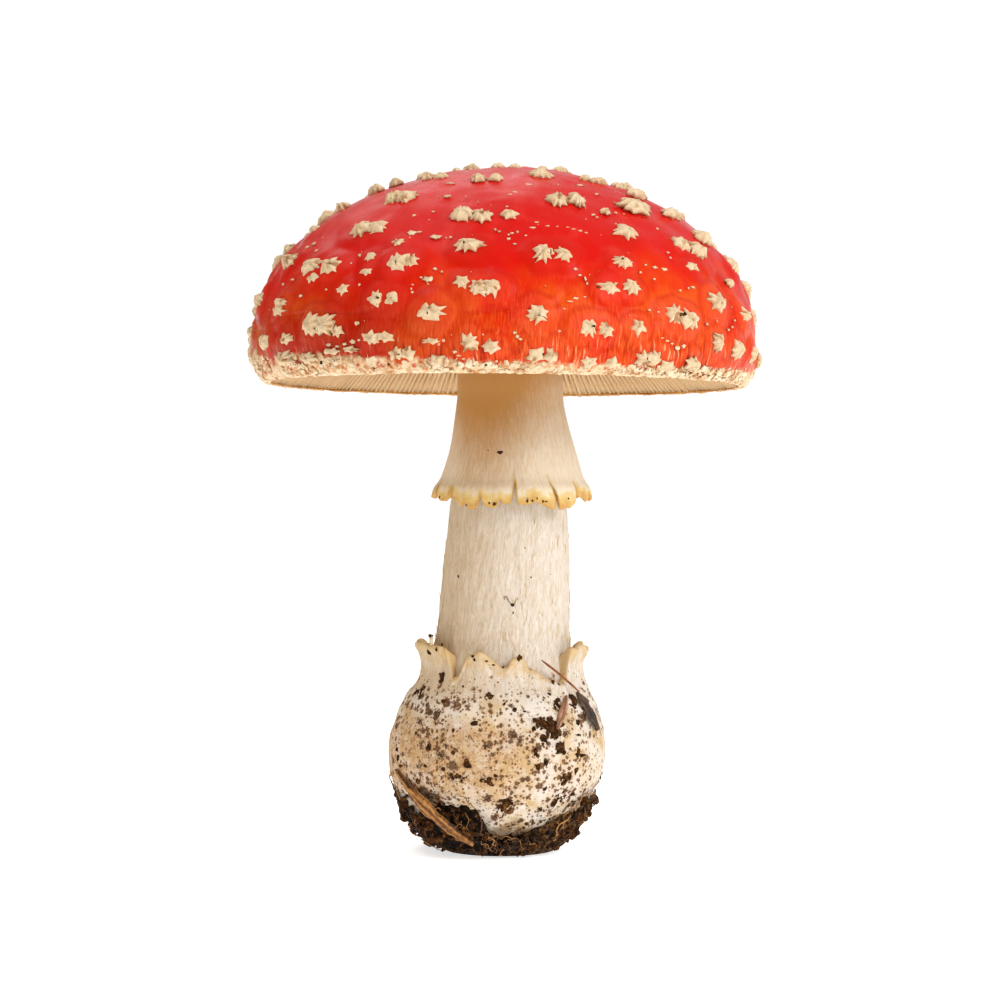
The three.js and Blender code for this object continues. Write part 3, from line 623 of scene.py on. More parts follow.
def star_flake(point, half_across, half_down, rng, corners, rise, edge, rings, samples=6):
    """Body with tones of one flake of veil on the skin at a point, in its own random shape.

    It is a polar grid with rings at shares s of its outline. The outline goes between valleys
    and pointed tips as the nearness of the tip to the power 2.2. The height is the thickness of
    the edge plus the rise times 0.8 (1 - s^2.4) + 0.2 (1 - s)^1.4, more along blunt ridges that
    run to the tips, and noise gives lumps and pits. The side drops to the skin, with its root
    sunk in it. The tones are painted light and shade from the shape: high on the ridges and
    lumps, low in the pits, and low on the side.
    """
    along = np.arange(corners * samples) / samples
    corner = np.floor(along).astype(int)
    part = along - corner
    near_tip = np.abs(2 * part - 1)
    turns = np.sort(rng.uniform(-0.33, 0.33, corners) + np.arange(corners)) * 2 * np.pi / corners
    turns = np.append(turns, turns[0] + 2 * np.pi) + rng.uniform(0, 2 * np.pi)
    angle = turns[corner] + (turns[corner + 1] - turns[corner]) * part
    reach, ridge = rng.uniform([[0.84], [0.2]], [[1.14], [1.0]], (2, corners))
    nearest = np.where(part < 0.5, corner, (corner + 1) % corners)
    valley = rng.uniform(0.5, 0.74, corners)[corner]
    outline = valley + (reach[nearest] - valley) * near_tip ** 2.2
    s = np.array(rings)[:, None]
    size = half_across + half_down
    shift = rng.uniform(-0.2, 0.2, 2)
    a = half_across * (s * outline * np.cos(angle) + (1 - s) * shift[0])
    b = half_down * (s * outline * np.sin(angle) + (1 - s) * shift[1])
    plane = np.stack([a, b, 0 * a + point[0]], axis=-1)
    a = a + 0.045 * size * noise(plane, 0.3 * size, 51) * (s > 0)
    b = b + 0.045 * size * noise(plane, 0.3 * size, 52) * (s > 0)
    thickness = edge * (1 - 0.5 * near_tip ** 3)
    ridge = near_tip ** 1.5 * ridge[nearest] * smoothstep(s, 0, 0.35)
    swell = 0.8 * (1 - s ** 2.4) + 0.2 * (1 - s) ** 1.4
    up = thickness + rise * swell * (0.72 + 0.42 * ridge)
    a = np.vstack([a, [share * a[-1] for share, _ in FLAKE_SIDE]])
    b = np.vstack([b, [share * b[-1] for share, _ in FLAKE_SIDE]])
    up = np.vstack([up, [h * thickness if h > 0 else h + 0 * angle for _, h in FLAKE_SIDE]])
    across, down = skin_axes(point)
    put, out = on_skin(point + a[..., None] * across + b[..., None] * down)
    lumps = noise(put, 1.4, 4) * 0.55 + noise(put, 0.65, 5) * 0.45
    pits = smoothstep(noise(put, 0.95, 6), 0.3, 0.75)
    rough = (lumps - 0.7 * pits) * min(size / FULL_WART, 1) * 0.55
    grid = put + out * (up + rough * (up > 0.1))[..., None]
    # Painted light and shade: tones rise on the ridges towards the tips and on lumps, fall in
    # pits, and the side is given a low tone.
    tone = np.where(up > 0.1, 0.56 + 0.25 * near_tip ** 2 + 0.3 * lumps - 0.7 * pits, 0.1)
    tones = np.concatenate([tone[::-1][1:-1].ravel(), [0, 1]])
    return *skin_body(grid[::-1]), tones


def add_bodies(name, bodies, material, slot, node=None, seat=None):
    """Many bodies as one piece, moved by seat where it is given.

    Bodies that carry tones as their fourth part give the piece a tone at each point.
    """
    starts = np.cumsum([0] + [len(body[0]) for body in bodies[:-1]])
    quads, triangles = [np.vstack([body[part] + start for body, start in zip(bodies, starts)])
                        for part in (1, 2)]
    points = np.vstack([body[0] for body in bodies])
    tones = [body[3] for body in bodies if len(body) > 3]
    values = {"tone": np.concatenate(tones)} if tones else {}
    return add_piece(name, (seat(points) if seat else points, quads, triangles), material, slot,
                     node, **values)


def wart_material():
    """Veil tissue that dried on the cap: crumbly, fibrous and unpolished.

    To the eye: matt cream, lighter on ridges and tan in its hollows and on its sides as painted
    light and shade from the tones, with blotches of 2.2 mm, a few brown specks and a fine crumb
    of 0.6 mm.
    """
    material, shader, node = new_material("matt_cream_veil", Roughness=0.72)
    place = node("TexCoord", output="Object")
    tone = node("Attribute", {"attribute_name": "tone"}, "Fac")
    blotches = node("TexNoise", Vector=place, Scale=1000 / 2.2, Detail=3, Roughness=0.55)
    specks = node("TexNoise", Vector=place, Scale=1000 / 0.8, Detail=4, Roughness=0.7)
    crumbs = node("TexNoise", Vector=place, Scale=1000 / 0.6, Detail=4, Roughness=0.7)
    # The ramp is read by the tone, which is painted light and shade: cream where it is high, tan
    # where it is low.
    level = node("Math", PLUS, _0=tone, _1=share_of(node, (blotches, 0.3, 0.7, -0.2, 0.2)))
    base = node("ValToRGB", _0=level, stops=(
        (0.0, "#a87a50"), (0.25, "#c49d70"), (0.5, "#d6ba92"), (0.9, "#e0caa6")))
    base = laid_over(node, base, ("#8a6440", (specks, 0.6, 0.65), 0.6))
    feed(shader, Base_Color=base,
         Normal=node("Bump", Height=crumbs, Distance=0.00032, Strength=1.0))
    return material


cream_veil = wart_material()
wart_bodies = []
for point, half_across, half_down in cap_warts:
    size = half_across + half_down
    corners = int(wart_rng.integers(5, 7) if size < 4 else wart_rng.integers(7, 10))
    wart_bodies.append(star_flake(point, 1.04 * half_across, 1.04 * half_down, wart_rng, corners,
                                  WART_RISE * min(size / FULL_WART, 1.15), 0.28 + 0.08 * size,
                                  WART_RINGS, 5 if size < 4 else 6))
wart_piece = add_bodies("warts", wart_bodies, cream_veil, "cap", "cap", seat_on_stem)


# ---- Flecks ---------------------------------------------------------------------------------
# Thin crumbs of the same veil, single or in broken lines between the warts, left where the veil
# tore too finely to make a wart. They are stuck to the skin.

# Flecks of the front as sighted from in front: across, up, width, height.
FRONT_FLECKS = np.array([
    [-39.8, 128.5, 0.9, 0.7], [-38.7, 127.7, 0.8, 0.6], [-30.5, 127.6, 0.7, 0.6],
    [-44.9, 122.2, 1.5, 0.5], [-47.0, 121.2, 0.6, 0.5], [-43.1, 118.7, 1.0, 0.7],
    [-37.6, 120.1, 0.6, 0.5], [-30.5, 121.2, 0.5, 0.5], [-38.0, 116.4, 0.5, 0.4],
    [-46.8, 110.8, 0.8, 0.6], [-30.9, 112.9, 1.1, 0.8], [-43.4, 128.2, 1.8, 0.7],
    [-41.8, 129.2, 1.8, 0.7], [-40.4, 130.0, 1.4, 0.6], [-37.0, 108.2, 1.2, 0.7],
    [-35.2, 107.9, 1.0, 0.6], [-33.6, 108.4, 1.1, 0.7], [-31.8, 108.9, 1.3, 0.9],
    [-30.4, 109.3, 0.9, 0.6], [-11.8, 140.5, 2.2, 0.9], [-11.2, 143.2, 2.0, 0.5],
    [-18.8, 136.2, 1.0, 0.7], [-19.2, 132.5, 2.2, 1.4], [-17.7, 132.7, 0.9, 0.6],
    [-14.2, 131.7, 2.2, 1.3], [-10.9, 131.6, 0.6, 0.5], [-14.2, 124.8, 0.8, 0.6],
    [-12.7, 124.2, 0.5, 0.4], [-15.7, 122.6, 2.2, 1.4], [-17.2, 122.9, 0.7, 0.5],
    [-19.0, 121.3, 0.7, 0.5], [-19.3, 120.4, 0.4, 0.5], [-19.1, 119.7, 0.7, 0.5],
    [-13.1, 119.5, 0.6, 0.6], [-25.6, 124.2, 2.0, 1.1], [-17.4, 109.0, 1.1, 0.9],
    [-16.1, 108.7, 1.3, 1.0], [-14.8, 108.6, 1.2, 1.0], [-13.4, 108.8, 1.2, 1.1],
    [-12.3, 109.4, 0.8, 0.8], [-19.2, 110.3, 1.1, 0.9], [-9.8, 107.0, 1.1, 0.6],
    [-8.9, 106.2, 1.1, 0.5], [-8.0, 105.5, 0.8, 0.5], [5.6, 143.1, 1.8, 0.8],
    [3.0, 141.4, 1.8, 0.6], [1.8, 140.9, 1.0, 0.5], [1.2, 138.3, 0.6, 0.5], [6.8, 133.8, 1.2, 0.6],
    [7.6, 135.0, 0.7, 0.5], [10.0, 134.2, 0.8, 0.5], [12.0, 134.1, 0.7, 0.4],
    [14.3, 134.0, 0.9, 0.4], [15.6, 133.6, 0.8, 0.35], [17.0, 133.2, 0.9, 0.4],
    [18.3, 132.8, 0.6, 0.4], [16.8, 143.1, 2.0, 0.5], [3.5, 132.9, 0.6, 0.5],
    [2.3, 132.6, 0.7, 0.5], [1.6, 132.3, 0.5, 0.4], [1.6, 131.4, 0.6, 0.5],
    [-0.4, 133.0, 0.6, 0.4], [-1.3, 133.4, 0.5, 0.4], [2.9, 130.3, 0.6, 0.5],
    [16.1, 125.0, 0.8, 0.9], [17.0, 123.7, 0.6, 0.5], [18.2, 122.9, 0.5, 1.0],
    [18.6, 121.9, 0.4, 0.6], [21.2, 124.4, 0.5, 1.0], [21.8, 123.3, 0.5, 0.8],
    [22.8, 125.9, 0.5, 0.4], [14.9, 118.0, 1.2, 0.4], [16.2, 118.7, 1.0, 0.4],
    [18.2, 119.0, 0.6, 0.4], [3.1, 111.2, 0.7, 0.7], [3.7, 110.4, 0.8, 0.7],
    [4.3, 109.8, 0.7, 0.6], [12.7, 111.6, 0.6, 0.5], [13.7, 116.4, 0.5, 0.4],
    [22.4, 137.3, 2.2, 1.2], [19.8, 136.7, 1.1, 0.5], [20.6, 136.2, 0.6, 0.4],
    [24.6, 137.2, 0.8, 0.5], [20.5, 141.2, 1.0, 0.5], [33.6, 133.8, 0.7, 0.5],
    [31.2, 126.0, 0.6, 0.4], [33.2, 125.5, 1.2, 0.7], [35.2, 125.1, 1.6, 0.7],
    [36.0, 128.7, 0.6, 0.5], [36.5, 127.6, 0.6, 0.4], [30.1, 124.4, 0.6, 0.5],
    [33.1, 123.0, 0.6, 0.5], [40.5, 121.1, 0.6, 0.5], [41.4, 121.3, 1.2, 0.6],
    [32.1, 116.3, 0.6, 0.4], [34.0, 115.9, 0.6, 0.4], [38.2, 108.2, 1.4, 0.9],
    [39.6, 108.6, 1.2, 0.8], [34.9, 110.3, 0.9, 0.4], [36.0, 109.7, 1.0, 0.4],
    [37.0, 109.1, 0.8, 0.4], [44.6, 113.4, 0.6, 0.5], [49.2, 112.2, 0.8, 0.5],
    [50.0, 112.8, 0.8, 0.5], [50.5, 114.2, 0.5, 0.5],
])
FINE_FLECKS = 260

rng = np.random.default_rng(23)
fleck_bodies = []
for across, up, width, height in FRONT_FLECKS:
    fleck_bodies.append(star_flake(sighted_place(across, up), width * rng.uniform(0.5, 0.75),
                                   height * rng.uniform(0.4, 0.65), rng, 5, 0.1, 0.16,
                                   [0, 0.5, 1.0], 3))
for _ in range(FINE_FLECKS):
    rise = rng.uniform(0.02, 1) ** 0.8
    size = 0.1 + 0.2 * rng.random() ** 3
    place = skin_place(rng.uniform(0, 2 * np.pi), CAP_WAIST_Z - 4 + (CAP_HEIGHT + 3) * rise)
    fleck_bodies.append(star_flake(place, size * rng.uniform(0.8, 1.8), size, rng,
                                   4, 0.03, 0.09, [0, 0.6, 1.0], 2))
# The flecks' tones, painted light and shade from their shape, are lifted towards the light end.
fleck_bodies = [(*body, 0.6 + 0.4 * tones) for *body, tones in fleck_bodies]
add_bodies("flecks", fleck_bodies, cream_veil, "cap", "cap", seat_on_stem)


# ---- Crust ----------------------------------------------------------------------------------
# Flocky band of veil along the margin of the cap, where it tore from the stem: small ragged
# flakes stuck side by side, a fringe of fibres above them, and below them the skin's own edge,
# rolled in as a thread.

EDGE_Z = 99.95
CRUST_FLAKES = 1500
CRUST_FIBRES = 420


def crust_material():
    """Veil that dried in flocks, pressed together as the margin opened.

    To the eye: matt cream to pinkish in patches of 2.6 mm, orange-brown in its pits and on the
    sides of its flakes as painted shade, with a crumb of 0.5 mm.
    """
    material, shader, node = new_material("matt_flocky_crust", Roughness=0.8)
    place = node("TexCoord", output="Object")
    tone = node("Attribute", {"attribute_name": "tone"}, "Fac")
    mottle = node("TexNoise", Vector=place, Scale=1000 / 2.6, Detail=3, Roughness=0.55)
    crumbs = node("TexNoise", Vector=place, Scale=1000 / 0.5, Detail=3, Roughness=0.55)
    base = node("ValToRGB", _0=mottle, stops=(
        (0.3, "#a8642f"), (0.4, "#cb9f72"), (0.48, "#dcc29c"), (0.62, "#e5d5b7")))
    # Painted shade: orange-brown where the tone is low, in the pits and on the flakes' sides.
    base = laid_over(node, base, ("#a8692f", (tone, 0.4, 0.0, 0, 0.65)))
    feed(shader, Base_Color=base,
         Normal=node("Bump", Height=crumbs, Distance=0.00015, Strength=0.7))
    return material


def rod_body(path, rings):
    """Body of rings of points along a path, with a pole at each end of the path."""
    poles = np.broadcast_to(path[:, None], rings.shape)
    return skin_body(np.concatenate([poles[:1], rings, poles[-1:]]))


def tube(path, radii, sides=5):
    """Body of a closed round rod: circles square to a path, with a radius at each point."""
    path, radii = np.array(path, dtype=float), np.array(radii, dtype=float)
    along = np.gradient(path, axis=0)
    along /= np.linalg.norm(along, axis=1, keepdims=True)
    guide = np.eye(3)[np.argmin(np.abs(along).sum(axis=0))]
    first = np.cross(along, guide)
    first /= np.linalg.norm(first, axis=1, keepdims=True)
    second = np.cross(along, first)
    turn = np.linspace(0, 2 * np.pi, sides, endpoint=False)[:, None]
    return rod_body(path, path[:, None] + radii[:, None, None] * (
        np.cos(turn) * first[:, None] + np.sin(turn) * second[:, None]))


def with_tone(body, tone):
    """A body with one tone for all of its points."""
    return *body, np.full(len(body[0]), float(tone))


rng = np.random.default_rng(37)
crust_bodies = []
for _ in range(CRUST_FLAKES):
    angle = rng.uniform(0, 2 * np.pi)
    z = EDGE_Z + (at_angle(CRUST_TOP, angle) - 0.1 - EDGE_Z) * rng.random() ** 1.4
    size = 0.2 + 0.65 * rng.random() ** 2
    crust_bodies.append(star_flake(skin_place(angle, z), size * rng.uniform(0.8, 1.6), size, rng,
                                   5, rng.uniform(0.1, 0.35), 0.25, [0, 0.55, 1.0], 2))
for _ in range(CRUST_FIBRES):
    angle = rng.uniform(0, 2 * np.pi)
    low = at_angle(CRUST_TOP, angle) - rng.uniform(0.2, 1.6)
    long, lean = rng.uniform(0.4, 1.1), rng.uniform(-0.02, 0.02)
    t = np.linspace(0, 1, 5)
    path = skin_place(angle + lean * t, low + long * t) * [1.002, 1.002, 1]
    thick = rng.uniform(0.06, 0.13)
    crust_bodies.append(with_tone(tube(path, thick * np.array([1, 1, 0.8, 0.6, 0.2]), 4),
                                  rng.uniform(0.3, 1)))
crust_piece = add_bodies("crust", crust_bodies, crust_material(), "cap", "cap", seat_on_stem)


def hem_material():
    """Edge of the skin with veil dried on its outside.

    To the eye: a cream thread, mottled at 3 mm, and orange-brown where it faces the gills.
    """
    material, shader, node = new_material("rolled_hem", Roughness=0.7)
    place = node("TexCoord", output="Object")
    inside = node("Attribute", {"attribute_name": "inside"}, "Fac")
    mottle = node("TexNoise", Vector=place, Scale=1000 / 3, Detail=3, Roughness=0.55)
    outer = node("ValToRGB", _0=mottle, stops=(
        (0.38, "#a9652c"), (0.46, "#d8b888"), (0.6, "#eddfc4")))
    inner = node("ValToRGB", _0=mottle, stops=((0.35, "#b0732c"), (0.6, "#cf9b52")))
    feed(shader, Base_Color=laid_over(node, outer, (inner, (inside, 0.35, 0.65))))
    return material


def hem_grid(columns=900, sides=10):
    """Thread round the edge of the cap as a loop of rings, and how far each point faces inside.

    Its circles are turned round the axis, thick and thin by noise, and noise sways its line.
    """
    angle = np.linspace(0, 2 * np.pi, columns, endpoint=False)[None, :]
    turn = np.linspace(0, 2 * np.pi, sides, endpoint=False)[:, None]
    circle = polar(50, angle, 0)
    thick = 0.27 + 0.1 * noise(circle, 2.5, 2) + 0.11 * noise(circle, 0.9, 3)
    r = 50.5 + 0.2 * noise(circle, 7, 4) + thick * np.cos(turn)
    z = EDGE_Z + 0.12 * noise(circle, 5, 5) - thick * np.sin(turn)
    return polar(r, angle, z), 0.5 - 0.5 * np.cos(turn) + 0 * angle


hem_rings, hem_inside = hem_grid()
add_piece("hem", loop_body(seat_on_stem(hem_rings)), hem_material(), "cap", "cap",
          inside=hem_inside.ravel())


# ---- Gills ----------------------------------------------------------------------------------
# Two hundred and fifty-six thin blades of soft flesh, grown down from the flesh of the cap side
# by side: long ones that nearly reach the stem, medium ones between them, and short ones at the
# margin.

GILL_OUTER_RADIUS = 50.1
# Lower edge of the blades and lower face of the flesh: radius and height, from the margin in.
GILL_EDGE_LINE = [[50.2, 99.95], [43.6, 105.0], [35.0, 111.4], [25.5, 117.0], [15.5, 120.8]]
GILL_WEB_LINE = [[50.0, 100.5], [44.1, 105.9], [35.3, 112.5], [25.7, 118.3], [13.5, 122.6]]
# Upper face of the flesh, from the stem out.
GILL_ROOF_LINE = [[13.5, 130.0], [31.5, 126.2], [45.1, 118.0], [50.6, 107.8], [50.1, 101.4]]


def gill_blades(rng, count, inner, start, rows):
    """Bodies with tones of blades of one length, evenly spaced, each a closed thin wedge.

    Seven points go round each section, from one side of the root down to the edge and up again.
    The depth falls at the inner end as the square root of 1 - t^6. Noise bends the blade to the
    side and frays its edge.
    """
    t = np.linspace(0, 1, rows)
    r = GILL_OUTER_RADIUS + (inner - GILL_OUTER_RADIUS) * t
    high = np.interp(r, *np.transpose(GILL_WEB_LINE[::-1])) + 0.5
    low = np.interp(r, *np.transpose(GILL_EDGE_LINE[::-1]))
    low = high - (high - low) * np.sqrt(np.clip(1 - t ** 6, 0.03, 1))
    root = np.minimum(0.55, 0.36 * r * 2 * np.pi / 128)
    thin = np.minimum(0.24, 0.45 * root)
    side = np.stack([-root, -0.8 * root, -thin, 0 * r, thin, 0.8 * root, root], axis=1)
    level = np.stack([high, low + 0.7, low + 0.2, low, low + 0.2, low + 0.7, high], axis=1)
    bodies = []
    for k in range(count):
        angle = (k + start) * 2 * np.pi / count
        bend = noise(np.stack([r, 0 * r + 37.3 * k, 0 * r], axis=-1), 7, 6) * 0.35
        fray = noise(np.stack([r, 0 * r + 11.7 * k, 0 * r], axis=-1), 2.5, 7) * 0.15
        across = side + bend[:, None] * [0, 0.6, 1, 1, 1, 0.6, 0]
        z = np.minimum(level + fray[:, None], high[:, None])
        points = np.stack([r[:, None] * np.cos(angle) - across * np.sin(angle),
                           r[:, None] * np.sin(angle) + across * np.cos(angle), z], axis=-1)
        bodies.append(with_tone(rod_body(points.mean(axis=1), points), rng.uniform(0, 1)))
    return bodies


def gill_web(columns=240):
    """Body of the flesh that the blades hang from: its section turned round the axis."""
    line = np.vstack([smooth_line(GILL_WEB_LINE, 20), smooth_line(GILL_ROOF_LINE, 20)])
    angle = np.linspace(0, 2 * np.pi, columns, endpoint=False)
    return loop_body(polar(line[:, :1], angle, line[:, 1:]), -1)


def gill_material():
    """Soft moist flesh in thin blades, smooth as it grew.

    To the eye: even cream without gloss, each blade a shade of its own, and the web between them
    a little darker as painted shade.
    """
    material, shader, node = new_material("soft_cream_gills", Roughness=0.75)
    tone = node("Attribute", {"attribute_name": "tone"}, "Fac")
    feed(shader, Base_Color=node("ValToRGB", _0=tone, stops=((0.0, "#c7a478"), (1.0, "#cfaf84"))))
    return material


rng = np.random.default_rng(41)
# The web between the blades takes a low tone: painted shade between them.
gill_bodies = [with_tone(gill_web(), 0.2)]
for count, inner, start, rows in ((64, 16, 0.0, 15), (64, 18, 0.5, 14), (128, 32, 0.5, 10)):
    gill_bodies += gill_blades(rng, count, inner, start, rows)
add_bodies("gills_fine", gill_bodies, gill_material(), "gills", "gills", seat_on_stem)


# ---- Stem -----------------------------------------------------------------------------------
# Fibrous cream stipe, grown in one with a round bulb, and where they meet the torn yellowish rim
# of the volva, the cup that the veil left. It leans a little: the head stands to the right of
# the foot, and is rooted in the cap's flesh.

# Lines of the stem's section from below: radius and height; the neck's has height and radius.
BULB_LINE = [[0, 2.2], [9.5, 3.0], [14.9, 5.0], [18.2, 8.0], [20.4, 11.5], [22.6, 15.8],
             [23.4, 20.5], [22.9, 25.0], [21.6, 29.5], [20.4, 32.3], [19.4, 34.2]]
NECK_LINE = [[34.2, 19.4], [35.4, 18.7], [36.7, 18.0], [39.3, 17.4], [41.8, 17.8], [44.7, 18.5]]
STIPE_LINE = [[14.7, 43.5], [14.2, 48.0], [13.6, 60.0], [12.6, 73.0], [11.5, 83.0],
              [11.1, 92.0], [11.3, 97.0], [11.2, 108.0], [12.0, 130.5]]
STEM_HEAD = [[11.2, 112], [12.0, 130.5], [0, 130.5]]
# Height of the torn rim, by degrees from the right.
VOLVA_RIM = [[0, 43.8], [18, 44.0], [30, 41.0], [60, 39.4], [85, 41.6], [110, 39.0],
             [140, 42.2], [165, 44.2], [190, 44.9], [205, 44.3], [218, 44.0], [227, 43.6],
             [230, 42.6], [232, 40.6], [234.5, 37.6], [239, 38.0], [242, 39.6], [245.5, 42.6],
             [252, 43.2], [258, 42.8], [264, 41.6], [270, 40.3], [273.5, 40.0], [276, 41.4],
             [282, 42.4], [287, 41.2], [291, 39.6], [301, 38.0], [306, 37.0], [316, 36.8],
             [320, 37.6], [322.5, 42.0], [325, 43.8], [345, 44.1], [350, 42.8], [360, 43.4]]


def lean_x(z):
    """Sideways place of the stem's middle at each height: a smooth step to the right."""
    return -1.1 + 3.3 * smoothstep(z, 0, 90)


def stem_grid(columns=330):
    """Bulb, volva and stipe as one grid from the foot to the head, with its attributes.

    Lines of radius and height are joined from below: the bulb, the outside of the volva up to
    its rim, the lip, the inside down to the foot of the stipe, the stipe and the head. They are
    turned round the leaning middle, and noise moves the radii: fibres along the stipe, lumps
    on the bulb and ribs on the volva.
    """
    angle = np.linspace(0, 2 * np.pi, columns, endpoint=False)
    circle = polar(18, angle, 0)
    top = (at_angle(VOLVA_RIM, angle)
           + 0.55 * noise(circle, 2.4, 11) + 0.35 * noise(circle, 0.9, 12))
    neck = smooth_line(NECK_LINE, 60).T
    curl = ((0.6 * noise(circle, 3.6, 13) + 0.25 * noise(circle, 1.4, 19))
            * smoothstep(top, 36, 42) + 0.12 * noise(circle, 0.8, 27))
    r_top = np.interp(top, *neck) + curl
    bulb = smooth_line(BULB_LINE, 100)[:, :, None] + 0 * angle
    rise = np.linspace(0, 1, 27)[1:, None]
    volva_z = neck[0, 0] + (top - neck[0, 0]) * rise
    roll = 0.32 * np.exp(-((volva_z - top + 0.8) / 0.6) ** 2)
    outer = np.stack([np.interp(volva_z, *neck) + curl * rise ** 2 + roll, volva_z], axis=1)
    lip = np.array([[r_top - 0.35, top + 0.2], [r_top - 0.9, top + 0.12]])
    floor_z = top - 0.7 - 2.2 * smoothstep(top, 42.9, 43.9)
    foot_r = np.interp(floor_z, [36, 41.5], [16.6, 15.1])
    fall = np.linspace(0, 1, 12)[:, None]
    inner = np.stack([r_top - 1.35 + (foot_r - r_top + 1.35) * fall,
                      top - 0.25 + (floor_z - top + 0.25) * fall ** 1.5], axis=1)
    rise = np.linspace(0, 1, 7)[1:-1, None]
    foot = np.stack([foot_r + (14.75 - foot_r) * rise, floor_z + (43.5 - floor_z) * rise], axis=1)
    stipe = smooth_line(STIPE_LINE, 116)[:86, :, None] + 0 * angle
    head = np.array(STEM_HEAD)[:, :, None] + 0 * angle
    line = np.concatenate([bulb, outer, lip, inner, foot, stipe, head])
    r, z = line[:, 0], line[:, 1]
    volva_rows = np.arange(len(outer) + len(lip) + len(inner))
    near_rim = np.zeros((len(line), 1))
    near_rim[len(bulb) + volva_rows, 0] = np.interp(volva_rows, [0, 14, 26, 30, 40],
                                                    [0, 0.3, 1, 1, 0.5])
    flow = polar(14, angle, 0.2 * z)
    place = polar(r, angle, z)
    bulbous = smoothstep(z, 40, 30) * (near_rim < 0.5)
    bend = flow + 0.9 * noise(flow, 2.4, 20)[..., None]
    fibre = (noise(bend, 1.2, 14, 2) * 0.14 + noise(bend, 0.6, 15) * 0.08) * smoothstep(z, 96, 90)
    lumps = 0.35 * noise(place, 7, 16, 2) + 0.16 * noise(place, 2, 17, 2)
    ribs = 0.5 * noise(flow, 2.2, 18) + 0.16 * noise(flow, 0.9, 28)
    r = r + np.where(z > 41, fibre, fibre * (1 - bulbous) + lumps * bulbous)
    r = r + ribs * (near_rim > 0) * (near_rim < 1)
    r[[0, -1]] = 0
    return polar(r, angle, z, lean_x(z)), {"flow": flow / 1000,
                                           "rim": near_rim * smoothstep(z, 34.5, 37.5)}


def speck_depth(node, place, cell, largest, crowd):
    """Depth in a ragged speck of soil, in cells: one speck at most to a cell of a size in mm.

    The place is shaken by a noise a third as large as a cell. The speck's reach is a random
    share to the power 2.6 of the largest in mm, so that most are small, and the distance from
    the cell's point is taken off.
    """
    shaken = node("TexNoise", output="Color", Vector=place, Scale=1000 / (0.35 * cell), Detail=5,
                  Roughness=0.85)
    shaken = node("VectorMath", {"operation": "MULTIPLY_ADD"}, _0=shaken,
                  _1=(0.0014 * cell,) * 3, _2=place)
    cells = node("TexVoronoi", Vector=shaken, Scale=1000 / cell).node.outputs
    chance = node("SeparateColor", _0=cells["Color"])
    most_small = node("Math", {"operation": "POWER"}, _0=chance, _1=2.6)
    reach = share_of(node, most_small, largest / cell, crowd)
    return node("Math", {"operation": "SUBTRACT"}, _0=reach, _1=cells["Distance"])


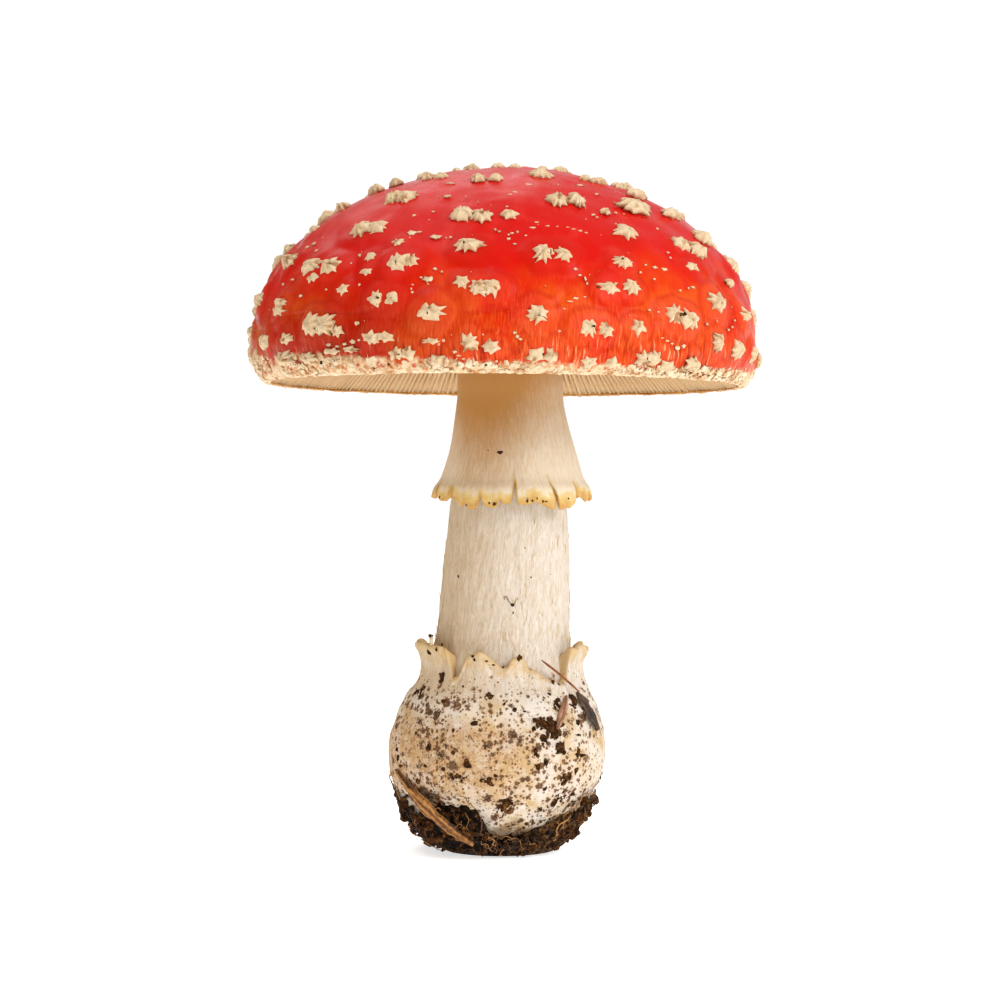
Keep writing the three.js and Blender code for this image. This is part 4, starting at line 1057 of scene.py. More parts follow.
def stem_material():
    """Fibrous flesh under a dry skin, which stretched as it grew, with soil rubbed on the bulb.

    To the eye: matt cream with fibres of 0.5 mm, tan at the head as painted shade under the cap,
    darker and warmer on the left as painted shade, yellowish along the rim of the volva, and below
    it a whiter bulb with tan stains and wisps, and ragged specks of soil of 0.4 to 1.6 mm, each
    with a tan halo.
    """
    material, shader, node = new_material("fibrous_cream_stem", Roughness=0.68)
    place = node("TexCoord", output="Object")
    x, _, z = node("SeparateXYZ", Vector=place).node.outputs
    flow = node("Attribute", {"attribute_name": "flow"}, "Vector")
    rim = node("Attribute", {"attribute_name": "rim"}, "Fac")
    fibres = node("TexNoise", Vector=flow, Scale=1000 / 0.5, Detail=4, Roughness=0.62,
                  Distortion=1.2)
    stain = node("TexNoise", Vector=place, Scale=1000 / 7, Detail=5, Roughness=0.65)
    cloud = node("TexNoise", Vector=place, Scale=1000 / 2.6, Detail=5, Roughness=0.65)
    wisps = node("TexNoise", Vector=place, Scale=1000 / 2.4, Detail=4, Roughness=0.65,
                 Distortion=1.0)
    tatter = node("TexNoise", Vector=place, Scale=1000 / 2, Detail=3, Roughness=0.55)
    crowds = node("TexNoise", Vector=place, Scale=1000 / 9, Detail=3, Roughness=0.55)
    splash = node("TexNoise", Vector=place, Scale=1000 / 4, Detail=4, Roughness=0.6)
    grit = node("TexNoise", Vector=place, Scale=1000 / 0.7, Detail=3, Roughness=0.55)
    base = node("ValToRGB", _0=fibres, stops=(
        (0.3, "#c1ab90"), (0.45, "#d0c0ac"), (0.6, "#d8cfc4")))
    # Painted shade: tan at the head, under the cap, reaching lower on the left, away from the key
    # light.
    sway = node("Math", PLUS, _0=z, _1=share_of(node, (x, 0.014, -0.009, -0.001, 0.005)))
    base = laid_over(node, base, ("#b27d3c", (sway, 0.083, 0.103), 0.95))
    # Painted shade: the left side, away from the key light, is multiplied darker and warmer.
    painted_left_shade = share_of(node, (x, 0.004, -0.012, 0, 0.9))
    base = node("Mix", SHADE, 2, _0=painted_left_shade, _6=base, _7=(0.94, 0.85, 0.68, 1.0))
    flesh = node("ValToRGB", _0=stain, stops=(
        (0.42, "#ddd5cb"), (0.52, "#dacdb8"), (0.62, "#c8aa7c")))
    haze = share_of(node, (cloud, 0.3, 0.64, 0.25, 1), (x, 0.011, -0.003, 0.2, 1.0),
                    (z, 0.033, 0.025), (z, 0.010, 0.017, 0.1, 1))
    wisps = node("Math", {"operation": "SUBTRACT"}, _0=wisps, _1=0.5)
    wisps = node("Math", {"operation": "ABSOLUTE"}, _0=wisps)
    rim = node("Math", PLUS, _0=rim, _1=share_of(node, (tatter, 0.3, 0.7, -0.25, 0.25)))
    base = laid_over(
        node, base,
        (flesh, (z, 0.036, 0.031)),
        ("#c69f6d", haze),
        ("#93622f", (wisps, 0.035, 0.008), (haze, 0.1, 0.9, 0.1, 0.75), (z, 0.033, 0.026)),
        ("#cbab76", (rim, 0.25, 1.0, 0, 0.9)))
    crowd = share_of(node, (crowds, 0.35, 0.65, 0.6, 1.25), (z, 0.042, 0.031, 0.25, 1.0))
    foot = share_of(node, (z, 0.048, 0.043))
    for cell, largest, colour in ((3.4, 1.55, "#3c220c"), (1.9, 1.0, "#4a2b10"),
                                  (1.1, 0.68, "#5a3614"), (0.6, 0.42, "#6b431d")):
        depth = speck_depth(node, place, cell, largest, crowd)
        base = laid_over(node, base, ("#bd8f58", (depth, -0.13, 0.02, 0, 0.5), foot),
                         (colour, (depth, 0.0, 0.05), foot))
    low = node("Math", PLUS, _0=z, _1=share_of(node, (splash, 0.3, 0.7, -0.003, 0.003)))
    base = laid_over(node, base, ("#6d5236", (low, 0.009, 0.005), 0.6))
    bump = node("Bump", Height=fibres, Distance=0.00032, Strength=0.8)
    bump = node("Bump", Height=grit, Distance=0.0001, Strength=0.4, Normal=bump)
    feed(shader, Base_Color=base, Normal=bump)
    return material


stem_rings, stem_values = stem_grid()
stem_piece = add_piece("stem_skin", skin_body(stem_rings), stem_material(), "stem", "stem",
                       **{key: pole_values(value) for key, value in stem_values.items()})


# ---- Ring -----------------------------------------------------------------------------------
# Soft pleated skirt, the part of the veil that stayed on the stem. It is grown to the stem at
# its top and hangs free of it, with a thicker yellow hem, notched in lobes and torn in places.

# Outer face of the skirt from above: radius and height.
RING_LINE = [[10.9, 107.0], [11.33, 105.0], [11.38, 101.0], [11.55, 95.9], [13.1, 87.8],
             [15.2, 80.3], [16.7, 77.7], [17.05, 75.7]]
RING_FREE_Z = 95.9
RING_HEM_Z = 75.7
# Tears and notches of the hem: degrees from the right, height, half width, slant upwards.
RING_TEARS = [[15, 1.4, 3, 0], [38, 3, 3, 0], [62, 1.2, 3, 0], [84, 1.8, 3, 0], [115, 4, 3, 0],
              [138, 1.3, 3, 0], [160, 2, 3, 0], [196, 2.5, 2, 0], [220, 1.2, 3, 0],
              [233.4, 1.2, 3, 0], [246.3, 2.4, 3.4, 0], [261, 1.5, 2.4, 0],
              [271.8, 4.8, 2.1, 0], [288, 1.0, 16, 0], [303.6, 6.2, 2.1, -6.0],
              [323.4, 2.2, 3, 0], [345, 1.4, 3, 0]]


def ring_grid(columns=430, rows=62):
    """Skirt as a loop of rings: down its outer face, round the hem and up its inner face.

    The line gives the radius at each height. Noise and tears lift the hem, where a tear's
    height falls evenly over its half width, and the lift grows as the square of the reach, 0
    where the skirt leaves the stem and 1 at the hem. Pleats are a sine with 22 waves. The inner
    face lies inside by the thickness. The hem value is the height over the hem, in mm.
    """
    angle = np.linspace(0, 2 * np.pi, columns, endpoint=False)
    circle = polar(17, angle, 0)
    line = smooth_line(RING_LINE, rows)
    base_z = line[:, 1, None]
    reach = np.clip((RING_FREE_Z - base_z) / (RING_FREE_Z - RING_HEM_Z), 0, 1)
    lobes = 0.75 * noise(circle, 4.5, 21) + 0.3 * noise(circle, 1.6, 22)
    lift = 0.7 * noise(circle, 4.4, 23) + 0.45 * noise(circle, 1.5, 24)
    slants = 0 * angle
    for middle, height, half_width, slant in RING_TEARS:
        away = np.abs((np.degrees(angle) - middle + 180) % 360 - 180)
        lift = lift + height * np.clip(1 - away / half_width, 0, 1)
        slants = slants + np.radians(slant) * np.exp(-(away / 8) ** 2)
    from_front = np.abs(np.degrees(angle) - 275)
    lift = np.maximum(lift, -0.9) - 1.9 * smoothstep(from_front, 56, 38)
    pleats = np.sin(22 * angle + 1.5 * np.sin(3 * angle))
    z = base_z + lift * reach ** 2
    r = np.interp(z, line[::-1, 1], line[::-1, 0]) + lobes * reach ** 7
    r = r + (0.12 * pleats + 0.4 * noise(circle, 9, 25)) * smoothstep(z, 95, 76)
    thick = np.interp(reach, [0, 0.05, 0.6, 0.93, 1.0], [0.6, 0.75, 0.8, 1.15, 0.8])
    flow = polar(14, angle, 0.2 * z)
    relief = 0.03 * noise(flow, 1.2, 26, 2) * smoothstep(base_z, 96, 90)
    ring_r = np.concatenate([r + relief, r[-1:] - thick[-1] / 2, (r - thick)[::-1], r[:1] - 0.3])
    ring_z = np.concatenate([z, z[-1:] - 0.3, z[::-1] + 0.1, z[:1] + 0.1])
    reach, base_z, flow = (np.concatenate([rows, rows[-1:], rows[::-1], rows[:1]])
                           for rows in (reach, base_z, flow))
    turned = angle + slants * np.clip((ring_z - 75) / 4.4, 0, 1) * smoothstep(ring_z, 95, 84)
    grid = polar(ring_r, turned, ring_z, lean_x(ring_z) + 0.6 * smoothstep(reach, 0, 0.6))
    return grid, {"hem": (base_z - RING_HEM_Z + 0 * angle).ravel(),
                  "flow": flow.reshape(-1, 3) / 1000}


def ring_material():
    """Soft felted veil that dried as it hung.

    To the eye: matt cream with fibres of 0.5 mm, tan near the cap as painted shade, reaching lower
    left of the middle, and a yellow hem in patches of 3.2 mm with dark specks of soil in it.
    """
    material, shader, node = new_material("soft_cream_skirt", Roughness=0.62)
    place = node("TexCoord", output="Object")
    x, _, z = node("SeparateXYZ", Vector=place).node.outputs
    flow = node("Attribute", {"attribute_name": "flow"}, "Vector")
    hem = node("Attribute", {"attribute_name": "hem"}, "Fac")
    fibres = node("TexNoise", Vector=flow, Scale=1000 / 0.5, Detail=4, Roughness=0.65,
                  Distortion=0.9)
    patches = node("TexNoise", Vector=place, Scale=1000 / 3.2, Detail=3, Roughness=0.55)
    specks = node("TexNoise", Vector=place, Scale=1000 / 0.9, Detail=3, Roughness=0.55)
    base = node("ValToRGB", _0=fibres, stops=(
        (0.34, "#dccba8"), (0.5, "#e3d5bd"), (0.66, "#e8ddca")))
    # Painted shade: tan from under the cap downwards, with its lower edge moved by x, lower left
    # of the middle, away from the key light.
    sway = z
    for band in ((x, 0.013, -0.003, -0.005, 0.008), (x, -0.006, -0.0115, 0, -0.007),
                 (fibres, 0.3, 0.7, 0.0012, -0.0012)):
        sway = node("Math", PLUS, _0=sway, _1=share_of(node, band))
    level = node("Math", PLUS, _0=hem, _1=share_of(node, (patches, 0.3, 0.7, -0.8, 0.8)))
    yellow = node("ValToRGB", _0=share_of(node, (level, 2.6, -0.6)), stops=(
        (0.0, "#dac693"), (0.5, "#d4b167"), (1.0, "#c08f44")))
    base = laid_over(node, base, ("#ab7730", (sway, 0.078, 0.103), 0.97),
                     (yellow, (level, 2.6, 1.7)),
                     ("#4a2c12", (specks, 0.66, 0.7), (hem, 1.6, 0.9)))
    feed(shader, Base_Color=base,
         Normal=node("Bump", Height=fibres, Distance=0.00012, Strength=0.35))
    return material


ring_rings, ring_values = ring_grid()
ring_piece = add_piece("ring_skirt", loop_body(ring_rings, -1), ring_material(), "ring", "ring",
                       **ring_values)


# ---- Soil -----------------------------------------------------------------------------------
# Clod of dark forest soil that clings to the foot, lumpy and ragged at the top, with loose
# crumbs on it and smeared up the bulb. Specks stuck to the cap, the skirt and the stem as the
# mushroom pushed up through the ground.

# Reach of the clod: height and radius.
SOIL_REACH = [[0, 12.0], [1.7, 15.2], [4.3, 18.0], [6.9, 19.7], [9.5, 20.9], [12.0, 21.7],
              [15.0, 22.8], [18.0, 23.5], [22.0, 23.7]]
# Height of the top of the clod, by degrees from the right.
SOIL_TOP = [[0, 14.3], [20, 12], [60, 9.5], [120, 9.5], [155, 12], [178, 16.6], [194, 17.6],
            [205, 16.2], [215, 14.6], [232, 14.0], [246, 14.0], [252, 13.4], [258, 11.8],
            [262, 9.6], [266, 6.6], [272, 5.0], [288, 5.0], [294, 5.6], [300, 6.6], [309, 7.4],
            [315, 9.2], [322, 11.6], [335, 13.6], [347, 14.5], [360, 14.3]]
# Middle line of the bark strip: across, up, distance from the middle of the bulb.
STRIP_PLACES = [[-22, 18, 23.8], [-18, 13.4, 24.1], [-12.6, 8.4, 24.6], [-5.6, 3.3, 25.3]]


def bulb_radius(z):
    """Radius of the bulb at each height."""
    r, height = np.transpose(BULB_LINE)
    return np.interp(z, height, r)


def soil_radius(z):
    """Radius of the clod at each height."""
    return np.interp(z, *np.transpose(SOIL_REACH))


def soil_grid(columns=320, rows=56):
    """Clod as a grid from the middle of its foot over its ragged top and into the bulb.

    The reach is turned round the axis up to a top that noise makes ragged, roughened by noise,
    and drawn in to the bulb near the top. The foot is nearly flat: 0.02 + 0.25 (1 - s^4) mm.
    """
    angle = np.linspace(0, 2 * np.pi, columns, endpoint=False)
    circle = polar(20, angle, 0)
    top = (at_angle(SOIL_TOP, angle) + 1.0 * noise(circle, 6, 31)
           + 0.8 * noise(circle, 2.2, 32) + 0.5 * noise(circle, 0.9, 33))
    t = np.linspace(0, 1, rows)[:, None]
    z = top * t ** 1.1
    r = soil_radius(z)
    r = r + (bulb_radius(z) - 0.3 - r) * smoothstep(t, 0.6, 1.0)
    place = polar(r, angle, z)
    rough = 0.6 * noise(place, 3.0, 34, 2) + 0.55 * noise(place, 1.1, 35, 2) - 0.4
    r = r + rough * smoothstep(t, 0, 0.12) * (1 - 0.7 * smoothstep(t, 0.9, 1.0))
    s = np.linspace(0, 1, 12)[:-1, None]
    r = np.vstack([r[:1] * s, r, 0 * r[:1]])
    z = np.vstack([0.02 + 0.25 * (1 - s ** 4) + 0 * angle, z, 6 + 0 * z[:1]])
    return polar(r, angle, np.maximum(z, 0.01), lean_x(z) * np.clip(z / 4, 0, 1))


def film_beside(points, line):
    """How thick a white film lies on the soil: 1 near a line, below it, in front, in patches."""
    line = smooth_line(line, 40)[None]
    gap = points[:, None, ::2] - line[..., ::2]
    near = np.argmin(np.sum(gap ** 2, axis=-1), axis=1)
    away = np.linalg.norm(gap, axis=-1)[np.arange(len(points)), near]
    below = points[:, 2] < line[0, near, 2]
    return (smoothstep(away, 3.6, 2.6) * below * (points[:, 1] < 0)
            * smoothstep(noise(points, 1.6, 37, 2), -0.5, 0.3) * smoothstep(near, 21, 13))


def soil_material():
    """Humus and fine grit, pressed by the bulb and dried in the air.

    To the eye: dull grains of 1.4 mm from black to brown, paler towards the right, with a
    whitish film of threads beside the bark strip and a crumb of 0.6 mm.
    """
    material, shader, node = new_material("dry_forest_soil", Roughness=0.95,
                                          Specular_IOR_Level=0.15)
    place = node("TexCoord", output="Object")
    film = node("Attribute", {"attribute_name": "film"}, "Fac")
    grain = node("TexNoise", Vector=place, Scale=1000 / 1.4, Detail=6, Roughness=0.72)
    crumbs = node("TexNoise", Vector=place, Scale=1000 / 0.6, Detail=4, Roughness=0.7)
    base = node("ValToRGB", _0=grain, stops=(
        (0.45, "#040201"), (0.54, "#1d0f04"), (0.61, "#56310f"), (0.72, "#a66c2a")))
    # Paler grains laid over towards the right.
    paler_at_right = node("ValToRGB", _0=grain, stops=(
        (0.42, "#160d06"), (0.51, "#4a3119"), (0.59, "#7c5a36"), (0.7, "#b08a5e")))
    x = node("SeparateXYZ", Vector=place)
    base = laid_over(node, base, (paler_at_right, (x, 0.0, 0.014, 0, 0.85)), ("#d2c5b6", film))
    feed(shader, Base_Color=base,
         Normal=node("Bump", Height=crumbs, Distance=0.00035, Strength=0.9))
    return material


def lump_shapes():
    """Bodies of unit balls of 20 and of 80 triangles."""
    shapes = []
    for level in (1, 2):
        ball = bmesh.new()
        bmesh.ops.create_icosphere(ball, subdivisions=level, radius=1)
        mesh = bpy.data.meshes.new("lump")
        ball.to_mesh(mesh)
        ball.free()
        points = np.zeros((len(mesh.vertices), 3))
        triangles = np.zeros((len(mesh.polygons), 3), int)
        mesh.vertices.foreach_get("co", points.ravel())
        mesh.loops.foreach_get("vertex_index", triangles.ravel())
        bpy.data.meshes.remove(mesh)
        shapes.append((points, np.zeros((0, 4), int), triangles))
    return shapes


def crumb(place, size, rng, level=0, squash=None):
    """Body of an irregular lump at a place: a ball, stretched at random and swollen by noise.

    Where a direction to squash is given, half of its extent along it is taken off.
    """
    points, quads, triangles = LUMPS[level]
    scale = rng.uniform(0.4, 1.45, 3)
    swell = 1.15 + 0.85 * noise(points + rng.uniform(0, 50, 3), 0.75, 41)
    shaped = points * scale * swell[:, None]
    if squash is not None:
        shaped = shaped - 0.5 * (shaped @ squash)[:, None] * squash
    return place + size * shaped, quads, triangles


LUMPS = lump_shapes()
clod_body = skin_body(soil_grid())
add_piece("soil_clod", clod_body, soil_material(), "soil", "soil",
          film=film_beside(clod_body[0], [[x, 0, z] for x, z, _ in STRIP_PLACES]))

# Specks on the warts and the crust, as sighted from in front: across, up, half width.
FRONT_SPECKS = np.array([
    [-39.7, 125.0, 0.2], [-39.9, 112.0, 0.35], [-26.4, 118.8, 0.2], [-22.5, 126.5, 0.25],
    [-15.7, 115.4, 0.2], [-5.3, 121.5, 0.2], [-7.8, 130.7, 0.2], [-21.9, 106.5, 0.2],
    [-4.4, 108.0, 0.2], [8.4, 114.9, 0.2], [9.3, 106.5, 0.2], [11.0, 128.8, 0.3],
    [20.9, 111.8, 0.2], [20.2, 112.6, 0.2], [25.3, 121.6, 0.25], [21.1, 121.0, 0.2],
    [26.4, 127.1, 0.2], [39.0, 115.0, 0.3], [39.7, 115.1, 0.3], [31.8, 105.6, 0.2],
    [32.2, 104.8, 0.2], [-38.5, 104.7, 0.25], [-41.3, 103.3, 0.2], [-24.0, 104.3, 0.2],
    [-27.2, 103.5, 0.2], [-5.8, 104.0, 0.15], [-3.0, 104.2, 0.2], [25.5, 103.0, 0.15],
])

seen_pieces = [BVHTree.FromObject(piece, bpy.context.evaluated_depsgraph_get())
               for piece in (skin_piece, wart_piece, crust_piece, stem_piece, ring_piece)]


def first_hit(start, way):
    """Place and outward way, both in mm, of the surface met first from a start, or nothing."""
    hits = [tree.ray_cast(Vector(np.array(start) / 1000), Vector(way).normalized())
            for tree in seen_pieces]
    hits = sorted((hit for hit in hits if hit[0]), key=lambda hit: hit[3])
    return [(np.array(place) * 1000, np.array(out)) for place, out, _, _ in hits[:1]]


def seen_crumb(across, up, size, rng):
    """Crumb seated on whatever the sight line from the eye meets first, or a list of none."""
    return [crumb(place, size, rng, 1, out)
            for place, out in first_hit(EYE, np.array([across, 0, up]) - EYE)]


def crumb_material():
    """Loose crumbs of humus, broken from the clod and dried.

    To the eye: dull brown, mottled at 0.8 mm, with a rough crumb.
    """
    material, shader, node = new_material("dry_earth_crumbs", Roughness=0.95,
                                          Specular_IOR_Level=0.15)
    place = node("TexCoord", output="Object")
    grain = node("TexNoise", Vector=place, Scale=1000 / 0.8, Detail=5, Roughness=0.7)
    pores = node("TexNoise", Vector=place, Scale=1000 / 0.5, Detail=3, Roughness=0.55)
    base = node("ValToRGB", _0=grain, stops=(
        (0.38, "#1a0d04"), (0.52, "#41250c"), (0.66, "#7d5022")))
    feed(shader, Base_Color=base,
         Normal=node("Bump", Height=pores, Distance=0.0002, Strength=0.8))
    return material


earth_crumbs = crumb_material()
rng = np.random.default_rng(67)
speck_bodies = []
for across, up, size in FRONT_SPECKS:
    speck_bodies += seen_crumb(across, up, size, rng)
add_bodies("wart_specks", speck_bodies, earth_crumbs, "cap")

# Larger crumbs of the front as sighted from in front, on the bulb, on the skirt and on the
# stem: across, up, half width.
FRONT_CRUMBS = np.array([
    [-14.6, 45.9, 0.45], [-13.8, 42.9, 0.5], [-15.3, 42.2, 0.4], [-12.5, 43.9, 0.35],
    [-17.7, 44.6, 0.2], [-5.8, 41.3, 0.35], [-5.6, 40.6, 0.4], [-2.8, 40.3, 0.25],
    [-1.5, 39.5, 0.35], [0.6, 39.0, 0.2], [4.3, 41.0, 0.45], [15.3, 44.2, 0.5], [11.4, 35.8, 0.5],
    [12.6, 35.4, 0.45], [-12.5, 37.1, 0.4], [-12.4, 36.2, 0.4], [-8.0, 34.9, 0.5],
    [-16.5, 34.5, 0.5], [-17.0, 33.7, 0.35], [-12.1, 31.7, 0.6], [-2.6, 33.1, 0.4],
    [-2.0, 32.4, 0.4], [1.0, 31.1, 0.6], [-5.4, 27.0, 0.55], [5.3, 29.5, 0.35], [3.2, 29.8, 0.35],
    [12.1, 31.8, 0.7], [12.3, 30.8, 0.6], [16.0, 30.2, 0.4], [16.7, 27.2, 0.4], [-18.1, 24.8, 0.5],
    [-15.2, 21.9, 0.5], [3.2, 24.0, 0.6], [12.9, 21.9, 0.8], [12.5, 20.6, 0.5], [17.6, 19.9, 0.7],
    [16.8, 27.0, 0.4], [17.0, 24.4, 0.4], [9.9, 18.5, 0.7], [8.2, 17.5, 0.5], [14.2, 15.1, 0.6],
    [13.6, 14.0, 0.4], [16.4, 16.8, 0.4], [-10.1, 25.3, 0.35], [-10.2, 20.6, 0.4],
    [-12.2, 16.9, 0.5], [-7.1, 18.0, 0.6], [-3.2, 14.3, 0.6], [-1.0, 15.6, 0.4],
    [-16.2, 17.7, 0.4], [-17.8, 14.5, 0.4], [-8.3, 14.4, 0.4], [-22.2, 21.2, 0.5],
    [-21.9, 19.4, 0.6], [-21.4, 17.8, 0.6], [11.6, 9.7, 0.7], [9.7, 12.9, 0.4], [7.5, 27.6, 0.9],
    [8.6, 26.6, 0.8], [7.2, 25.6, 0.7], [11.0, 27.4, 0.9], [12.2, 26.6, 1.0], [10.6, 26.0, 0.9],
    [12.6, 25.0, 0.9], [11.4, 24.6, 0.8], [9.6, 23.4, 0.5], [7.4, 20.9, 0.5], [8.2, 19.7, 0.35],
    [9.3, 31.9, 0.35], [10.6, 33.2, 0.35], [19.6, 28.4, 0.5], [20.6, 25.9, 0.4],
])
SKIRT_DOTS = np.array([
    [0.1, 85.3, 0.32], [-2.6, 85.8, 0.17], [-2.3, 74.4, 0.25], [-1.1, 74.2, 0.25],
    [-7.3, 74.0, 0.2], [-11.0, 74.6, 0.25], [-13.0, 75.7, 0.2], [5.9, 74.8, 0.25],
    [7.0, 74.8, 0.2], [8.0, 75.4, 0.2], [9.3, 74.8, 0.25], [10.0, 74.7, 0.2], [14.8, 75.4, 0.25],
    [16.6, 75.2, 0.2],
])
STEM_DOTS = np.array([
    [-14.8, 46.2, 0.5], [2.6, 52.4, 0.35], [2.8, 50.7, 0.2], [6.7, 58.4, 0.2], [-9.0, 58.6, 0.2],
    [11.0, 59.0, 0.2], [5.4, 64.7, 0.15],
])
# Smears of soil on the bulb: across, up, half across, half up, number of crumbs.
SOIL_PATCHES = [[9.4, 26.8, 2.0, 1.4, 26], [11.6, 25.6, 2.0, 2.0, 34], [9.6, 23.4, 0.9, 1.2, 10],
                [7.8, 20.6, 0.6, 1.0, 7], [0.9, 8.8, 2.1, 1.9, 34], [15.8, 32.0, 1.0, 1.4, 12],
                [-17.6, 33.6, 0.7, 1.6, 9], [-12.4, 36.8, 0.4, 1.6, 8], [12.3, 31.2, 0.9, 1.4, 12],
                [14.2, 15.2, 1.2, 1.2, 12], [17.0, 20.0, 0.7, 1.2, 8], [12.8, 21.4, 1.0, 1.4, 10],
                [-2.4, 32.6, 1.0, 0.6, 6], [-15.4, 21.8, 0.5, 0.5, 4], [14.6, 11.0, 2.6, 1.4, 14],
                [-9.0, 15.2, 2.4, 0.8, 10], [-2.6, 14.6, 1.6, 0.9, 8]]
# Crumb on the tip of a thread that stands up beside the stem.
STALK_TOP = np.array([-14.6, -10.0, 46.4])
BULB_CRUMBS = 1100
CLOD_CRUMBS = 420

rng = np.random.default_rng(53)
crumb_bodies = []
for across, up, size in np.concatenate([FRONT_CRUMBS, SKIRT_DOTS * [1, 1, 1.3], STEM_DOTS]):
    crumb_bodies += seen_crumb(across, up, size, rng)
for across, up, half_across, half_up, count in SOIL_PATCHES:
    for _ in range(count):
        far, turn = rng.random() ** 0.6, rng.uniform(0, 2 * np.pi)
        crumb_bodies += seen_crumb(across + half_across * far * np.cos(turn),
                                   up + half_up * far * np.sin(turn),
                                   rng.uniform(0.2, 0.55) * (1.3 - 0.6 * far), rng)
while len(crumb_bodies) < BULB_CRUMBS:
    angle, z = rng.uniform(0, 2 * np.pi), rng.uniform(4, 36)
    place = polar(bulb_radius(z), angle, z, lean_x(z))
    crowd = noise(place[None], 6, 42, 2)[0] + (12 - z) * 0.05
    if crowd > rng.uniform(-0.4, 0.9):
        size = 0.1 + 0.4 * rng.random() ** 4
        crumb_bodies.append(crumb(place, size, rng, 0, polar(1, angle, 0)))
for _ in range(CLOD_CRUMBS):
    angle, z = rng.uniform(0, 2 * np.pi), rng.uniform(0.6, 12)
    r = soil_radius(z) + rng.uniform(-0.5, 0.1)
    if z < at_angle(SOIL_TOP, angle) - 1:
        size = min(0.25 + 0.8 * rng.random() ** 2, z * 0.7)
        place = polar(r, angle, z, lean_x(z) * min(z / 4, 1))
        crumb_bodies.append(crumb(place, size, rng, 1 if size > 0.5 else 0))
crumb_bodies.append(crumb(STALK_TOP, 0.85, rng, 1))
add_bodies("soil_crumbs", crumb_bodies, earth_crumbs, "soil")


# ---- Roots ----------------------------------------------------------------------------------
# Fine dry roots and plant hairs of the forest floor. They are caught in the clod and lie over
# it, some with a free end, and a few short hairs stick to the stem.

# Hairs that stand by a dot on the stem, as sighted from in front: across, up along each.
STEM_HAIRS = [[[2.4, 52.7], [1.9, 53.3], [1.3, 54.3]], [[2.8, 52.6], [3.4, 53.1], [3.9, 53.9]],
              [[1.2, 54.4], [0.9, 54.0], [1.0, 53.5]]]
ROOTS = 330


def root_material():
    """Bark of hair roots, shrunk as it dried. To the eye: matt, each from tan to dark brown."""
    material, shader, node = new_material("dry_fine_roots", Roughness=0.8)
    tone = node("Attribute", {"attribute_name": "tone"}, "Fac")
    feed(shader, Base_Color=node("ValToRGB", _0=tone, stops=(
        (0.0, "#24140a"), (0.6, "#6e4420"), (1.0, "#b78348"))))
    return material


rng = np.random.default_rng(61)
root_bodies = []
for _ in range(ROOTS):
    angle = rng.uniform(0, 2 * np.pi)
    z = rng.uniform(0.9, at_angle(SOIL_TOP, angle))
    steps = np.linspace(0, 1, 7)
    long, slant = rng.uniform(1.5, 6), rng.uniform(-np.pi, np.pi)
    turn = angle + long / 20 * np.cos(slant) * steps + rng.uniform(-0.03, 0.03, 7)
    level = z + long * np.sin(slant) * steps + rng.uniform(-0.5, 0.5, 7)
    level = np.clip(level, 0.5, np.maximum(at_angle(SOIL_TOP, turn), 1) + 0.5)
    r = soil_radius(level) + rng.uniform(-0.5, 0.3) + rng.uniform(-0.25, 0.25, 7)
    if rng.random() < 0.1 and level.max() < 12:
        r = r + 1.8 * steps ** 2
    radii = ((0.05 + 0.11 * rng.random() ** 2)
             * np.interp(np.arange(14), [0, 2, 10, 13], [0.5, 1, 1, 0.3]))
    path = smooth_line(polar(r, turn, level, lean_x(level)), 14)
    root_bodies.append(with_tone(tube(path, radii, 4), rng.random() ** 1.3))
for places in STEM_HAIRS:
    path = [first_hit(EYE, np.array([across, 0, up]) - EYE)[0][0] + [0, -0.12, 0]
            for across, up in places]
    root_bodies.append(with_tone(tube(smooth_line(path, 8), np.full(8, 0.07), 4), 0.7))
add_bodies("fine_roots", root_bodies, root_material(), "soil")


# ---- Fibrils --------------------------------------------------------------------------------
# Threads of the stem's own skin, which split as the stem stretched. They are grown to it in
# their middle and lift at an end, and a thicker one stands up beside the stem.

FIBRILS = 230

# Dry skin, split along its fibres. To the eye: matt and as pale as the stem.
loose_fibrils, *_ = new_material("loose_cream_fibrils", Base_Color="#d9c5a4", Roughness=0.7)

rng = np.random.default_rng(83)
fibril_bodies = [tube([[-14.3, -10.2, 43.2], [-14.5, -10.1, 44.8], STALK_TOP],
                      [0.55, 0.4, 0.42], 8)]
for _ in range(FIBRILS):
    angle = rng.uniform(0, 2 * np.pi)
    z = 44.5 + 27 * rng.random() ** 2.2
    start, middle = polar(60, angle, z, lean_x(z)), polar(0, angle, z, lean_x(z))
    for place, out in first_hit(start, middle - start):
        steps = np.linspace(-1, 1, 7)[:, None]
        long = rng.uniform(0.5, 1.7)
        sway = 0.25 * rng.normal() * np.sin(3 * steps) + rng.uniform(-0.35, 0.35) * steps
        lift = 0.03 + rng.uniform(0.0, 0.14) * (1 + steps * rng.choice([-1, 1]))
        across = np.array([-np.sin(angle), np.cos(angle), 0])
        path = place + sway * across + lift * out + long * steps * [0, 0, 1]
        radii = rng.uniform(0.05, 0.1) * np.array([0.4, 0.9, 1, 1, 0.9, 0.7, 0.3])
        fibril_bodies.append(tube(path, radii, 4))
add_bodies("stem_fibrils", fibril_bodies, loose_fibrils, "stem")


# ---- Litter ---------------------------------------------------------------------------------
# What the forest floor has left on the foot, held by dried earth: an orange-brown strip of bark
# at the lower left, and at the upper right a dark flake of bark, a pinkish bud scale and a
# conifer needle.

BULB_MIDDLE = np.array([-0.6, 0.0, 20.5])


def before_bulb(x, z, distance):
    """Point in front of the bulb at a distance from its middle."""
    dx, dz = x - BULB_MIDDLE[0], z - BULB_MIDDLE[2]
    return np.array([x, -np.sqrt(distance ** 2 - dx ** 2 - dz ** 2), z])


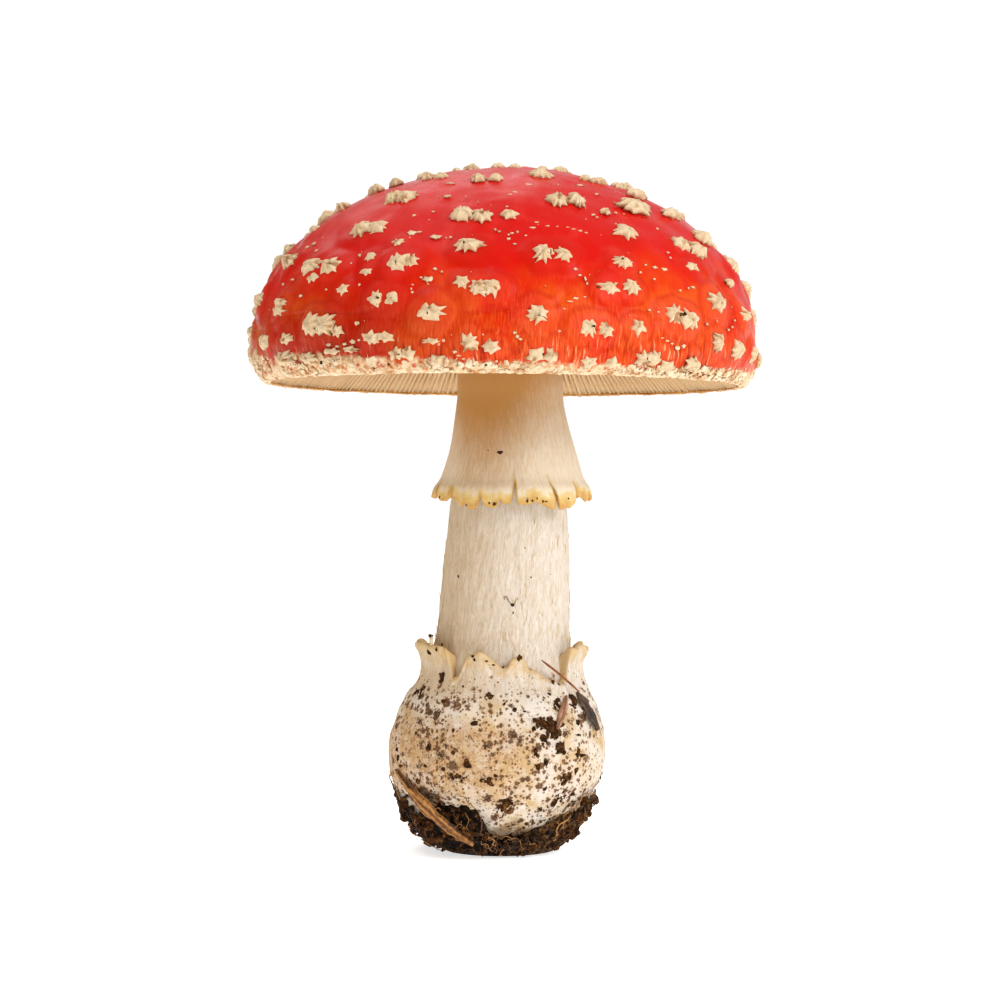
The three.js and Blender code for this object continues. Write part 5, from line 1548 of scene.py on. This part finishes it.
def blade_body(places, width, thickness, seed, ragged, ends=(0.25, 0.15), sides=28):
    """Flat ragged strip along places on the bulb, as a body, and the grain at its points.

    Its section is an ellipse as wide as the strip, which faces away from the bulb's middle and
    tapers towards both ends. Noise makes the edges ragged and ridges the faces along the strip.
    """
    path = smooth_line([before_bulb(*place) for place in places], 60)
    along = np.gradient(path, axis=0)
    along /= np.linalg.norm(along, axis=1, keepdims=True)
    out = path - BULB_MIDDLE
    out /= np.linalg.norm(out, axis=1, keepdims=True)
    across = np.cross(along, out)
    t = np.linspace(0, 1, len(path))
    taper = np.interp(t, [0, ends[0], 1 - ends[1], 1], [0.25, 1, 1, 0.35])
    turn = np.linspace(0, 2 * np.pi, sides, endpoint=False)
    unrolled = np.stack(np.broadcast_arrays(6 * turn, 5 * t[:, None], 0.0), axis=-1)
    grain = noise(unrolled, 1.6, seed + 1, 3)
    half = width / 2 * taper * (1 + ragged * noise(path, 1.6, seed, 2))
    wide = half[:, None] * np.cos(turn) * (1 + 0.12 * grain)
    high = thickness / 2 * np.sqrt(taper)[:, None] * np.sin(turn) * (1 + 0.5 * grain)
    rings = path[:, None] + wide[..., None] * across[:, None] + high[..., None] * out[:, None]
    return rod_body(path, rings), np.concatenate([grain.ravel(), [0, 0]])


def litter_material(name, colours, size):
    """Dead plant tissue, dried and weathered, in three colours, mottled at a size in mm.

    To the eye: matt, streaked along its grain, with pores of 0.5 mm.
    """
    material, shader, node = new_material(name, Roughness=0.8)
    place = node("TexCoord", output="Object")
    grain = node("Attribute", {"attribute_name": "grain"}, "Fac")
    mottle = node("TexNoise", Vector=place, Scale=1000 / size, Detail=4, Roughness=0.65)
    pores = node("TexNoise", Vector=place, Scale=1000 / 0.5, Detail=3, Roughness=0.55)
    level = node("Math", PLUS, _0=mottle, _1=share_of(node, (grain, -0.8, 0.8, -0.25, 0.25)))
    base = node("ValToRGB", _0=level, stops=zip((0.25, 0.5, 0.75), colours))
    feed(shader, Base_Color=base,
         Normal=node("Bump", Height=pores, Distance=0.00015, Strength=0.6))
    return material


strip_body, strip_grain = blade_body(STRIP_PLACES, 2.7, 1.4, 71, 0.4)
add_piece("bark_strip_rough", strip_body,
          litter_material("orange_brown_bark", ("#2e1b0b", "#8a5522", "#bd8744"), 0.9),
          "bark_strip", "bark_strip", grain=strip_grain)

flake_places = [[16.2, 34.6, 24.5], [18.8, 30.6, 24.5], [20.8, 26.6, 24.5]]
flake_body, flake_grain = blade_body(flake_places, 3.0, 0.9, 73, 0.5, (0.3, 0.3))
add_piece("bark_flake_rough", flake_body,
          litter_material("dark_bark", ("#1a100a", "#3e2c1c", "#5e4830"), 1.4),
          "bark_flake", "bark_flake", grain=flake_grain)

scale_places = [[14, 34.0, 24.2], [13.2, 31, 24.2], [11.9, 27.6, 24.2]]
scale_body, scale_grain = blade_body(scale_places, 1.9, 0.7, 79, 0.12, (0.35, 0.5))
add_piece("bud_scale_smooth", scale_body,
          litter_material("papery_bud_scale", ("#6e4630", "#96694c", "#b98e70"), 2.0),
          "bud_scale", "bud_scale", grain=scale_grain)

needle_path = np.linspace([8.6, -15.2, 41.6], [16.6, -13.4, 34.8], 12)
needle_path[:, 2] += 0.25 * np.sin(np.linspace(0, np.pi, 12))
needle_body = tube(needle_path, 0.24 * np.interp(np.arange(12), [0, 2, 9, 11], [0.4, 1, 1, 0.7]),
                   8)
add_piece("needle_fine", needle_body,
          litter_material("dry_needle", ("#4a2410", "#7d4320", "#a8683a"), 1.5),
          "needle", "needle", grain=np.zeros(len(needle_body[0])))
